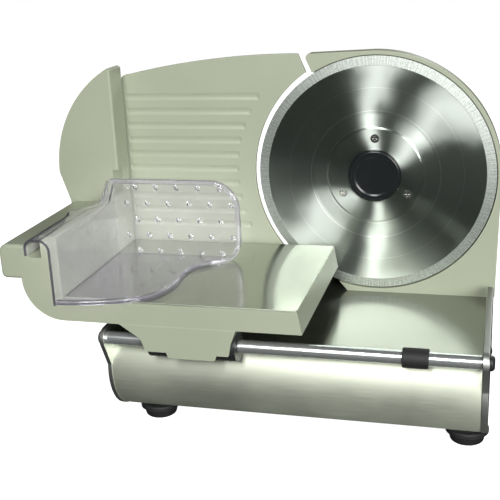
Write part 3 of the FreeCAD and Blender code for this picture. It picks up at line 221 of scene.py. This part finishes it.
def radial_tangent(tree, axis):
    """The direction in which a surface is brushed or turned about an axis."""
    return add(tree, "Tangent", direction_type="RADIAL", axis=axis).outputs[0]


def line_noise(tree, value, scale, detail):
    """Noise along one number."""
    inputs = {"W": value, "Scale": scale, "Detail": detail}
    return add(tree, "TexNoise", inputs, noise_dimensions="1D").outputs["Fac"]


def scaled(colour, amount):
    """The colour made lighter or darker."""
    return tuple(min(channel * amount, 1.0) for channel in colour)


def bumped(tree, shader, height, distance, strength=1.0):
    """Adds a bump on top of whatever normal the shader already has."""
    socket = shader.inputs["Normal"]
    inputs = {"Height": height, "Distance": distance, "Strength": strength}
    if socket.is_linked:
        inputs["Normal"] = socket.links[0].from_socket
    feed(tree, socket, add(tree, "Bump", inputs).outputs[0])


def edge_mask(tree, radius):
    """1 on edges and corners, 0 on flat faces."""
    rounded = add(tree, "Bevel", {"Radius": radius}, samples=4).outputs[0]
    plain = add(tree, "NewGeometry").outputs["Normal"]
    agreement = add(tree, "VectorMath", {0: rounded, 1: plain}, operation="DOT_PRODUCT").outputs["Value"]
    return spread(tree, agreement, 0.995, 0.90, 0.0, 1.0)


# ---------------------------------------------------------------- materials

def painted(name, colour):
    """Satin enamel over a casting: faint orange peel, slightly worn edges, uneven gloss."""
    material, tree, shader = new_material(name, colour, Coat_Weight=0.25, Coat_Roughness=0.22)
    cloud = object_noise(tree, 9.0, detail=3.0)
    wear = calculate(tree, "MULTIPLY", edge_mask(tree, 0.0012), object_noise(tree, 160.0))
    shade = tinted(tree, cloud, scaled(colour, 0.93), scaled(colour, 1.06))
    feed(tree, shader.inputs["Base Color"], blended(tree, wear, shade, (*scaled(colour, 1.35), 1)))
    feed(tree, shader.inputs["Roughness"], spread(tree, cloud, 0.3, 0.7, 0.34, 0.46))
    bumped(tree, shader, object_noise(tree, 420.0, detail=3.0), 0.00006)
    return material


# Heights in metres over which the painted shade on upward sheet eases from the deck up to the tray.
TRAY_LEVEL = (0.10, 0.13)


def brushed(name, colour, top_roughness, side_roughness, grain):
    """Stainless sheet brushed along one axis. Upward faces are painted darker to dim their reflections:
    painted shade, deepest on the deck below the tray.
    """
    material, tree, shader = new_material(name, colour)
    stretch = [1.0 if axis == grain else 90.0 for axis in "XYZ"]
    streaks = object_noise(tree, 40.0, stretch, 3.0)
    smudge = object_noise(tree, 14.0, detail=4.0)
    facing = add(tree, "SeparateXYZ", {0: add(tree, "NewGeometry").outputs["Normal"]}).outputs["Z"]
    top = spread(tree, facing, 0.80, 0.98, 0.0, 1.0)
    gloss = between(tree, top, side_roughness, top_roughness)
    uneven = calculate(tree, "MULTIPLY_ADD", smudge, 0.5, 0.6)
    combed = calculate(tree, "MULTIPLY_ADD", streaks, 0.3, uneven)
    feed(tree, shader.inputs["Roughness"], calculate(tree, "MULTIPLY", gloss, combed))
    sides = tinted(tree, streaks, scaled(colour, 0.92), scaled(colour, 1.08))
    height = add(tree, "SeparateXYZ", {0: add(tree, "TexCoord").outputs["Object"]}).outputs["Z"]
    # Painted shade: upward faces get a darker colour to dim their reflections, darkest on the deck below the
    # tray level.
    painted_shade_by_height = spread(tree, height, *TRAY_LEVEL, 0.0, 1.0)
    shaded_tops = tinted(tree, painted_shade_by_height, scaled(colour, 0.30), scaled(colour, 0.56))
    feed(tree, shader.inputs["Base Color"], blended(tree, top, sides, shaded_tops))
    feed(tree, shader.inputs["Metallic"], spread(tree, top, 0.0, 1.0, 1.0, 0.85))
    feed(tree, shader.inputs["Anisotropic"], 0.6)
    feed(tree, shader.inputs["Tangent"], radial_tangent(tree, grain))
    bumped(tree, shader, streaks, 0.00001)
    return material


def plated(name, colour, roughness, metallic=1.0, stretch=(1, 1, 1), lift=0.00001):
    """Chrome, zinc or turned steel with fine all-over marks."""
    material, tree, shader = new_material(name, colour, Metallic=metallic)
    marks = object_noise(tree, 700.0, stretch, 4.0)
    gloss = spread(tree, marks, 0.3, 0.7, roughness * 0.8, roughness * 1.3)
    feed(tree, shader.inputs["Roughness"], gloss)
    bumped(tree, shader, marks, lift)
    return material


def moulded(name, colour, roughness, texture=0.00003):
    """Black plastic or rubber with a fine moulded grain and paler rubbed edges."""
    material, tree, shader = new_material(name, colour)
    grain = object_noise(tree, 1500.0, detail=2.0)
    rubbed = calculate(tree, "MULTIPLY", edge_mask(tree, 0.0008), 0.5)
    pale = tuple(channel + 0.06 for channel in colour)
    feed(tree, shader.inputs["Base Color"], tinted(tree, rubbed, colour, pale))
    gloss = spread(tree, grain, 0.3, 0.7, roughness * 0.85, roughness * 1.15)
    feed(tree, shader.inputs["Roughness"], gloss)
    bumped(tree, shader, grain, texture)
    return material


def cast_metal(name, colour):
    """Bare sand-cast aluminium."""
    material, tree, shader = new_material(name, colour, Metallic=1.0)
    pits = object_noise(tree, 600.0, detail=5.0)
    feed(tree, shader.inputs["Roughness"], spread(tree, pits, 0.3, 0.7, 0.4, 0.65))
    bumped(tree, shader, pits, 0.00012)
    return material


BLADE_GREY = (0.50, 0.545, 0.50)
BEVEL_GREY = (0.54, 0.58, 0.54)
# Painted highlights: thin white lines where the machined ring edges catch the light.
RING_GLINT_WHITE = (0.95, 0.97, 0.95, 1)
RING_GLINT_RADII = (0.0482, 0.0625, 0.0628, 0.0845)
RING_GLINT_HALF_WIDTH = 0.00018
BEVEL_START = 0.1052


def blade_steel(name):
    """Turned stainless disc: rings round the centre, thin white lines at the machined ring edges painted in
    as highlights, and a bright cross-ground bevel at the rim.
    """
    material, tree, shader = new_material(name, BLADE_GREY, Metallic=1.0)
    coordinates = add(tree, "TexCoord").outputs["Object"]
    local = add(tree, "VectorMath", {0: coordinates, 1: blade_centre}, operation="SUBTRACT").outputs[0]
    parts = add(tree, "SeparateXYZ", {0: local})
    across, up = parts.outputs["X"], parts.outputs["Z"]
    across_squared = calculate(tree, "MULTIPLY", across, across)
    up_squared = calculate(tree, "MULTIPLY", up, up)
    radius = calculate(tree, "SQRT", calculate(tree, "ADD", across_squared, up_squared))
    angle = calculate(tree, "ARCTAN2", up, across)
    rings = line_noise(tree, radius, 2600.0, 3.0)
    spokes = line_noise(tree, angle, 110.0, 2.0)
    rim = calculate(tree, "GREATER_THAN", radius, BEVEL_START)
    speckle = object_noise(tree, 700.0, detail=3.0)
    ground = calculate(tree, "MULTIPLY_ADD", speckle, 0.6, calculate(tree, "MULTIPLY", spokes, 0.6))
    turned = tinted(tree, rings, scaled(BLADE_GREY, 0.84), scaled(BLADE_GREY, 1.16))
    hatch = spread(tree, ground, 0.35, 0.8, 0.0, 1.0)
    hatched = tinted(tree, hatch, scaled(BEVEL_GREY, 0.55), scaled(BEVEL_GREY, 1.3))
    # Painted highlights along the machined ring edges.
    ring_glints = 0.0
    for ring in RING_GLINT_RADII:
        offset = calculate(tree, "ABSOLUTE", calculate(tree, "SUBTRACT", radius, ring))
        ring_glints = calculate(tree, "ADD", calculate(tree, "LESS_THAN", offset, RING_GLINT_HALF_WIDTH), ring_glints)
    ring_glinted = blended(tree, calculate(tree, "MULTIPLY", ring_glints, 0.55), turned, RING_GLINT_WHITE)
    feed(tree, shader.inputs["Base Color"], blended(tree, rim, ring_glinted, hatched))
    feed(tree, shader.inputs["Roughness"], between(tree, rim, 0.30, 0.50))
    feed(tree, shader.inputs["Anisotropic"], between(tree, rim, 1.0, 0.2))
    swirl = object_noise(tree, 17.0, detail=2.5)
    drift = spread(tree, swirl, 0.3, 0.7, -0.028, 0.022)
    feed(tree, shader.inputs["Anisotropic Rotation"], calculate(tree, "ADD", drift, 0.25))
    feed(tree, shader.inputs["Tangent"], radial_tangent(tree, "Y"))
    bumped(tree, shader, between(tree, rim, rings, ground), 0.00001)
    bumped(tree, shader, calculate(tree, "MULTIPLY", ground, rim), 0.00005)
    bumped(tree, shader, swirl, 0.0002)
    return material


def clear_plastic(name):
    """Clear moulding with a faint violet tint that deepens along its edges."""
    colour = (0.90, 0.89, 0.93)
    material, tree, shader = new_material(name, colour, IOR=1.49, Transmission_Weight=0.95)
    scuffs = object_noise(tree, 240.0, detail=5.0)
    feed(tree, shader.inputs["Roughness"], spread(tree, scuffs, 0.55, 0.75, 0.02, 0.12))
    bumped(tree, shader, object_noise(tree, 60.0), 0.0001, 0.4)
    clear = add(tree, "BsdfTransparent", {"Color": (0.86, 0.85, 0.88, 1)})
    shadow = add(tree, "LightPath").outputs["Is Shadow Ray"]
    mix = add(tree, "MixShader", {0: shadow, 1: shader.outputs[0], 2: clear.outputs[0]})
    output = next(n for n in tree.nodes if n.type == "OUTPUT_MATERIAL")
    feed(tree, output.inputs["Surface"], mix.outputs[0])
    tint = add(tree, "VolumeAbsorption", {"Color": (0.62, 0.58, 0.70, 1), "Density": 22.0})
    feed(tree, output.inputs["Volume"], tint.outputs[0])
    return material


def floor_paper():
    """Pale seamless paper in view; to reflections and bounced light it is a dark copy, painted shade."""
    material, tree, shader = new_material("floor_paper", (0.80, 0.80, 0.80), Roughness=0.9)
    feed(tree, shader.inputs["Emission Color"], (1, 1, 1, 1))
    feed(tree, shader.inputs["Emission Strength"], 0.93)
    # Painted shade: the floor shows this dark copy to everything but the camera.
    dark = add(tree, "BsdfDiffuse", {"Color": (0.045, 0.048, 0.045, 1)})
    seen = add(tree, "LightPath").outputs["Is Camera Ray"]
    mix = add(tree, "MixShader", {0: seen, 1: dark.outputs[0], 2: shader.outputs[0]})
    output = next(n for n in tree.nodes if n.type == "OUTPUT_MATERIAL")
    feed(tree, output.inputs["Surface"], mix.outputs[0])
    return material


SAGE = (0.42, 0.455, 0.34)


def make_materials():
    """One finish for each material slot of the machine."""
    return {
        "painted_casting": painted("painted_casting", SAGE),
        "stainless_sheet": brushed("stainless_sheet", (0.84, 0.88, 0.74), 0.17, 0.50, "X"),
        "end_plate_steel": brushed("end_plate_steel", (0.62, 0.64, 0.60), 0.36, 0.36, "X"),
        "blade_steel": blade_steel("blade_steel"),
        "chrome_bar": plated("chrome_bar", (0.72, 0.75, 0.74), 0.24, 0.82, (0.02, 1, 1), 0.000002),
        "machined_steel": plated("machined_steel", (0.50, 0.50, 0.50), 0.25),
        "zinc_fastener": plated("zinc_fastener", (0.62, 0.62, 0.60), 0.22),
        "black_plastic": moulded("black_plastic", (0.022, 0.023, 0.024), 0.42),
        "cap_plastic": moulded("cap_plastic", (0.012, 0.014, 0.015), 0.22, 0.00001),
        "black_rubber": moulded("black_rubber", (0.018, 0.018, 0.018), 0.62, 0.00006),
        "belt_rubber": moulded("belt_rubber", (0.025, 0.024, 0.022), 0.7),
        "clear_plastic": clear_plastic("clear_plastic"),
        "cast_aluminium": cast_metal("cast_aluminium", (0.56, 0.57, 0.57)),
        "motor_paint": painted("motor_paint", (0.05, 0.05, 0.055)),
    }


# ---------------------------------------------------------------- mesh helpers

def mesh_from(bm, name):
    """The finished mesh of a bmesh, which is freed."""
    mesh = bpy.data.meshes.new(name)
    bm.to_mesh(mesh)
    bm.free()
    return mesh


def new_piece(name, mesh, slot, body, stands_for=()):
    """Finishes a piece: the slot's material, smooth shading with firm flats, and its body."""
    piece = bpy.data.objects.new(name, mesh)
    bpy.context.scene.collection.objects.link(piece)
    mesh.materials.clear()
    mesh.materials.append(materials[slot])
    mesh.shade_smooth()
    mesh.set_sharp_from_angle(angle=math.radians(40))
    firm = piece.modifiers.new("firm_flats", "WEIGHTED_NORMAL")
    firm.keep_sharp = True
    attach(piece, body)
    if stands_for:
        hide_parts(*stands_for)
    return piece


HARD_EDGE = math.radians(30)


def rounded_edges(bm, width, segments, chosen=None):
    """Bevels every hard edge, or only those that chosen(edge) accepts."""
    edges = [edge for edge in bm.edges if edge.is_manifold and edge.calc_face_angle(0) > HARD_EDGE]
    if chosen:
        edges = [edge for edge in edges if chosen(edge)]
    bmesh.ops.bevel(bm, geom=edges, offset=width, offset_type="OFFSET", segments=segments, profile=0.5,
                    affect="EDGES", clamp_overlap=True)


def welded(node):
    """A CAD node's mesh with its seams closed and its flat faces whole, ready to be rounded."""
    bm = bmesh.new()
    bm.from_mesh(nodes[node].data)
    bmesh.ops.remove_doubles(bm, verts=bm.verts, dist=2e-6)
    bmesh.ops.dissolve_limit(bm, angle_limit=math.radians(0.4), verts=bm.verts, edges=bm.edges)
    return bm


def soft_copy(node, width, reshape=None):
    """A CAD node's own shape with every hard edge rounded over, after reshape(bm) has had its turn."""
    bm = welded(node)
    if reshape:
        reshape(bm)
    rounded_edges(bm, width, 3)
    name = f"{node}_finish"
    new_piece(name, mesh_from(bm, name), slot_of[node], nodes[node]["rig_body"], (node,))


GROOVE_DEPTH = 1 * MM
GROOVE_FLOOR_SHARE = 0.36
GROOVE_END_REACH = 4 * MM
GROOVE_END_SLOPE = 2 * MM


def splay_grooves(bm):
    """Slopes the walls of the gauge plate's grooves, by shrinking each groove's floor."""
    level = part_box("gauge_plate")[0].y + GROOVE_DEPTH
    floors = [face for face in bm.faces if all(abs(v.co.y - level) < 0.05 * MM for v in face.verts)]
    for face in floors:
        heights = [v.co.z for v in face.verts]
        middle = (min(heights) + max(heights)) / 2
        end = max(v.co.x for v in face.verts)
        for v in face.verts:
            v.co.z = middle + (v.co.z - middle) * GROOVE_FLOOR_SHARE
            if v.co.x > end - GROOVE_END_REACH:
                v.co.x -= GROOVE_END_SLOPE


EAR_BEHIND_PUSHER = 19 * MM
EAR_FOOT_OVER_TRAY = 80 * MM


def round_ear(bm):
    """Rolls the outline of the ear's front face well over."""
    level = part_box("pusher_plate")[1].y + EAR_BEHIND_PUSHER
    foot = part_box("tray_plate")[1].z + EAR_FOOT_OVER_TRAY
    rounded_edges(bm, 4 * MM, 5, lambda edge: all(
        abs(v.co.y - level) < 0.5 * MM and v.co.z > foot for v in edge.verts
    ))


def bezier_points(start, pull_start, pull_end, end, count):
    """Points on a cubic curve through space or in a drawing, both ends included."""
    controls = [Vector(point) for point in (start, pull_start, pull_end, end)]
    points = []
    for i in range(count + 1):
        t = i / count
        weights = ((1 - t) ** 3, 3 * t * (1 - t) ** 2, 3 * t ** 2 * (1 - t), t ** 3)
        point = controls[0] * 0
        for weight, control in zip(weights, controls):
            point += control * weight
        points.append(point)
    return points


def rounded_outline(corners, count=10):
    """A closed outline from (x, y, radius) corners."""
    points = []
    total = len(corners)
    for i, (x, y, radius) in enumerate(corners):
        here = Vector((x, y))
        if radius <= 0:
            points.append((x, y))
            continue
        back = (Vector(corners[i - 1][:2]) - here).normalized()
        ahead = (Vector(corners[(i + 1) % total][:2]) - here).normalized()
        half = back.angle(ahead) / 2
        centre = here + (back + ahead).normalized() * (radius / math.sin(half))
        start = here + back * (radius / math.tan(half)) - centre
        end = here + ahead * (radius / math.tan(half)) - centre
        turn = start.angle_signed(end)
        for step in range(count + 1):
            spoke = start.copy()
            spoke.rotate(Matrix.Rotation(-turn * step / count, 2))
            points.append(tuple(centre + spoke))
    return points


def lay_out(axis, point, level):
    """A drawing's (u, v) at a level along the axis: X gives (y, z), Y gives (x, z), Z gives (x, y)."""
    u, v = point
    return {"X": (level, u, v), "Y": (u, level, v), "Z": (u, v, level)}[axis]


def skinned(rings, tip=None):
    """A closed solid through rings of 3-D points, ending in a flat face or in a point."""
    bm = bmesh.new()
    loops = [[bm.verts.new(point) for point in ring] for ring in rings]
    count = len(loops[0])
    following = [(i + 1) % count for i in range(count)]
    bm.faces.new(loops[0])
    for lower, upper in zip(loops, loops[1:]):
        for i, j in enumerate(following):
            bm.faces.new((lower[i], lower[j], upper[j], upper[i]))
    if tip is None:
        bm.faces.new(list(reversed(loops[-1])))
    else:
        peak = bm.verts.new(tip)
        for i, j in enumerate(following):
            bm.faces.new((loops[-1][i], loops[-1][j], peak))
    bmesh.ops.recalc_face_normals(bm, faces=bm.faces)
    return mesh_from(bm, "solid")


def slab(outline, axis, low, high):
    """The solid between two levels of an outline."""
    return skinned([[lay_out(axis, point, level) for point in outline] for level in (low, high)])


def loft(sections):
    """The solid through (y, outline) sections with the same number of points each."""
    return skinned([[lay_out("Y", point, y) for point in outline] for y, outline in sections])


def united(meshes):
    """The union of closed meshes, with its seams closed."""
    base = bpy.data.objects.new("union_base", meshes[0])
    bpy.context.scene.collection.objects.link(base)
    tools = []
    for mesh in meshes[1:]:
        tool = bpy.data.objects.new("union_tool", mesh)
        bpy.context.scene.collection.objects.link(tool)
        tools.append(tool)
        step = base.modifiers.new("union", "BOOLEAN")
        step.operation = "UNION"
        step.solver = "EXACT"
        step.object = tool
    bpy.context.view_layer.update()
    whole = bpy.data.meshes.new_from_object(base.evaluated_get(bpy.context.evaluated_depsgraph_get()))
    for spare in [base, *tools]:
        bpy.data.objects.remove(spare)
    bm = bmesh.new()
    bm.from_mesh(whole)
    bmesh.ops.remove_doubles(bm, verts=bm.verts, dist=1e-5)
    return mesh_from(bm, "union")


# ---------------------------------------------------------------- clear pusher

STUD_SIDES = 16
STUD_PROFILE = ((0.0, 1.0), (0.55, 1.0), (0.8, 0.86), (0.95, 0.55))
RIM_SIDES = 12
RIM_RADIUS = 2.4 * MM
# The floor web's free edge, from the plate's lower right corner to the side wall's foot: cubic curves in
# (x, y) mm from the moulding's front left corner.
WEB_EDGE = (
    ((112, 127), (100, 123), (89, 112), (88.3, 92)),
    ((88.3, 92), (88, 76), (93, 58), (84, 38)),
    ((84, 38), (79, 27), (70, 19), (55, 13.5)),
    ((55, 13.5), (40, 8), (22, 3), (2, 2.6)),
)
WEB_THICKNESS = 2.2 * MM
PLATE_HALF_THICKNESS = 1.1 * MM
WALL_THICKNESS = 3 * MM
CORNER_HEIGHT = 20 * MM
STUD_COLUMN = 21.4 * MM
STUD_ROW = 16.2 * MM
STUD_RADIUS = 2.2 * MM
STUD_LENGTH = 3 * MM
STUD_FOOT = 0.8 * MM
# (first column from the left, columns, first row from the bottom, rows)
STUD_GRIDS = ((24 * MM, 5, 0.0, 3), (14 * MM, 6, STUD_ROW, 2))
# Along the side wall, from front to back: (mm in front of the plate's back, mm from the rail's height to the
# top, mm to the end of the outer leg, left and right radius, thickness, and if the leg is outside the rail).
ARCH_SECTIONS = (
    (66, 4, -11, 8, 10, 2.4, True),
    (56, 4, 0.7, 2.7, 8, 2.3, True),
    (25, 4, 0.7, 2.7, 4, 2.2, False),
    (12, 6, 0.7, 3, 4, 2.2, False),
)


def stud_mesh(x, z, base, tip, radius):
    """A round-topped stud along Y."""
    rings = [
        [(x + radius * width * math.cos(a), base + (tip - base) * share, z + radius * width * math.sin(a))
         for a in (math.tau * i / STUD_SIDES for i in range(STUD_SIDES))]
        for share, width in STUD_PROFILE
    ]
    return skinned(rings, (x, tip, z))


def tube(path, radius):
    """A round bead along a path of 3-D points."""
    rings = []
    side = Vector((0, 0, 1))
    for i, point in enumerate(path):
        before = path[max(i - 1, 0)]
        after = path[min(i + 1, len(path) - 1)]
        ahead = (after - before).normalized()
        side = (side - ahead * side.dot(ahead)).normalized()
        other = ahead.cross(side)
        rings.append([
            point + side * radius * math.cos(a) + other * radius * math.sin(a)
            for a in (math.tau * k / RIM_SIDES for k in range(RIM_SIDES))
        ])
    return skinned(rings)


def band(outline, thickness):
    """A strip's closed outline: its outer line, and the same line set inwards by the thickness."""
    inner = []
    for i, point in enumerate(outline):
        before = Vector(outline[max(i - 1, 0)])
        after = Vector(outline[min(i + 1, len(outline) - 1)])
        along = (after - before).normalized()
        inner.append((point[0] - along.y * thickness, point[1] + along.x * thickness))
    return list(outline) + list(reversed(inner))


def arch(left, right, top, leg_end, foot, left_radius, right_radius, thickness):
    """The side in section: up from its foot, over the rail in an arch, and down the outer leg."""
    line = rounded_outline([
        (right, foot, 0),
        (right, top, right_radius),
        (left, top, left_radius),
        (left, leg_end, 0),
    ])
    return band(line, thickness)


def pusher_side(left, back, face, top):
    """The side wall with its arch, which narrows and rises towards the plate."""
    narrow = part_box("pusher_plate")[0].x
    low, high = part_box("pusher_side")
    outside = low.x + 2 * MM
    rail = high.z - 3 * MM
    wall = left + 2.4 * MM
    sections = []
    for before_back, rise, leg, left_radius, right_radius, thickness, over_rail in ARCH_SECTIONS:
        outline = arch(outside if over_rail else narrow, wall, rail + rise * MM, rail + leg * MM, low.z,
                       left_radius * MM, right_radius * MM, thickness * MM)
        sections.append((back - before_back * MM, outline))
    front = (low.y, sections[0][1])
    rear = (face, arch(narrow, wall, top, rail + 0.7 * MM, low.z, 5 * MM, 4 * MM, 2.2 * MM))
    return loft([front, *sections, rear])


def make_pusher():
    """One clear moulding: studded plate in a beaded rim, side wall with its arch, and curved floor web."""
    right, _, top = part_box("pusher_plate")[1]
    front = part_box("pusher_floor")[0].y
    side_low, side_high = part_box("pusher_side")
    back = side_high.y
    face = back + WALL_THICKNESS
    middle = (back + face) / 2
    bottom = side_low.z
    left = side_high.x - WALL_THICKNESS
    bead_right = right - RIM_RADIUS
    bead_top = top - RIM_RADIUS
    bead_bottom = bottom + RIM_RADIUS
    plate = [(left, bottom, 0), (right, bottom, 18 * MM), (right, top, 28 * MM), (left, top, 2 * MM)]
    outline = rounded_outline(plate, 14)
    solids = [slab(outline, "Y", middle - PLATE_HALF_THICKNESS, middle + PLATE_HALF_THICKNESS)]

    rim_line = rounded_outline([
        (left, bead_top, 0),
        (bead_right, bead_top, 26 * MM),
        (bead_right, bottom + CORNER_HEIGHT, 0),
    ], 14)
    edge = []
    for curve in WEB_EDGE:
        edge += [(left + x * MM, front + y * MM) for x, y in bezier_points(*curve, 8)[1:]]
    edge_start = (left + WEB_EDGE[0][0][0] * MM, front + WEB_EDGE[0][0][1] * MM)
    corner = [
        (bead_right, middle, bottom + CORNER_HEIGHT),
        (bead_right, middle - 1 * MM, bottom + 8 * MM),
        (right - 5 * MM, middle - 11 * MM, bead_bottom),
        (*edge_start, bead_bottom),
    ]
    bead = [Vector((x, middle, z)) for x, z in rim_line[:-1]]
    bead += bezier_points(*corner, 10)
    bead += [Vector((x, y, bead_bottom)) for x, y in edge]

    web = [(left, back + 1 * MM), (left, front + RIM_RADIUS), *reversed(edge), edge_start]
    web.append((edge_start[0], back + 1 * MM))
    solids.append(slab(web, "Z", bottom, bottom + WEB_THICKNESS))
    solids.append(pusher_side(left, back, face, top))
    for first_column, columns, first_row, rows in STUD_GRIDS:
        for column in range(columns):
            for row in range(rows):
                x = left + first_column + STUD_COLUMN * column
                z = bottom + STUD_RADIUS * 2 + first_row + STUD_ROW * 2 * row
                solids.append(stud_mesh(x, z, middle, face + STUD_LENGTH, STUD_RADIUS))
                solids.append(stud_mesh(x, z, middle, back - STUD_FOOT, STUD_RADIUS * 1.5))
    stands_for = ("pusher_plate", "pusher_side", "pusher_floor")
    new_piece("pusher_clear", united(solids), "clear_plastic", "pusher", stands_for)
    new_piece("pusher_rim", tube(bead, RIM_RADIUS), "clear_plastic", "pusher")


# ---------------------------------------------------------------- the whole scene

slot_of = {row["node"]: row["material_slot"] for row in frame["record"]["subparts"]}
bpy.context.scene.view_settings.view_transform = "Standard"
materials = make_materials()
for node, item in nodes.items():
    for place in item.material_slots:
        place.material = materials[slot_of[node]]

make_camera()
make_world()
for light, setting in SOFTBOXES.items():
    make_softbox(light, *setting)
make_floor()

# Rounding of each node's hard edges, in mm.
ROUNDED = {
    "blade_housing": 1.2,
    "gauge_plate": 0.9,
    "carriage_casting": 1.6,
    "carriage_bracket": 1.5,
    "left_end_plate": 0.8,
    "right_end_plate": 1.0,
    "drive_cover": 0.6,
    "switch_bezel": 0.5,
    "rocker": 0.4,
    "thickness_knob": 0.7,
    "rod_bumper": 0.7,
    "tray_plate": 0.3,
}
RESHAPED = {"gauge_plate": splay_grooves, "carriage_casting": round_ear}
for node, width in ROUNDED.items():
    soft_copy(node, width * MM, RESHAPED.get(node))
make_pusher()
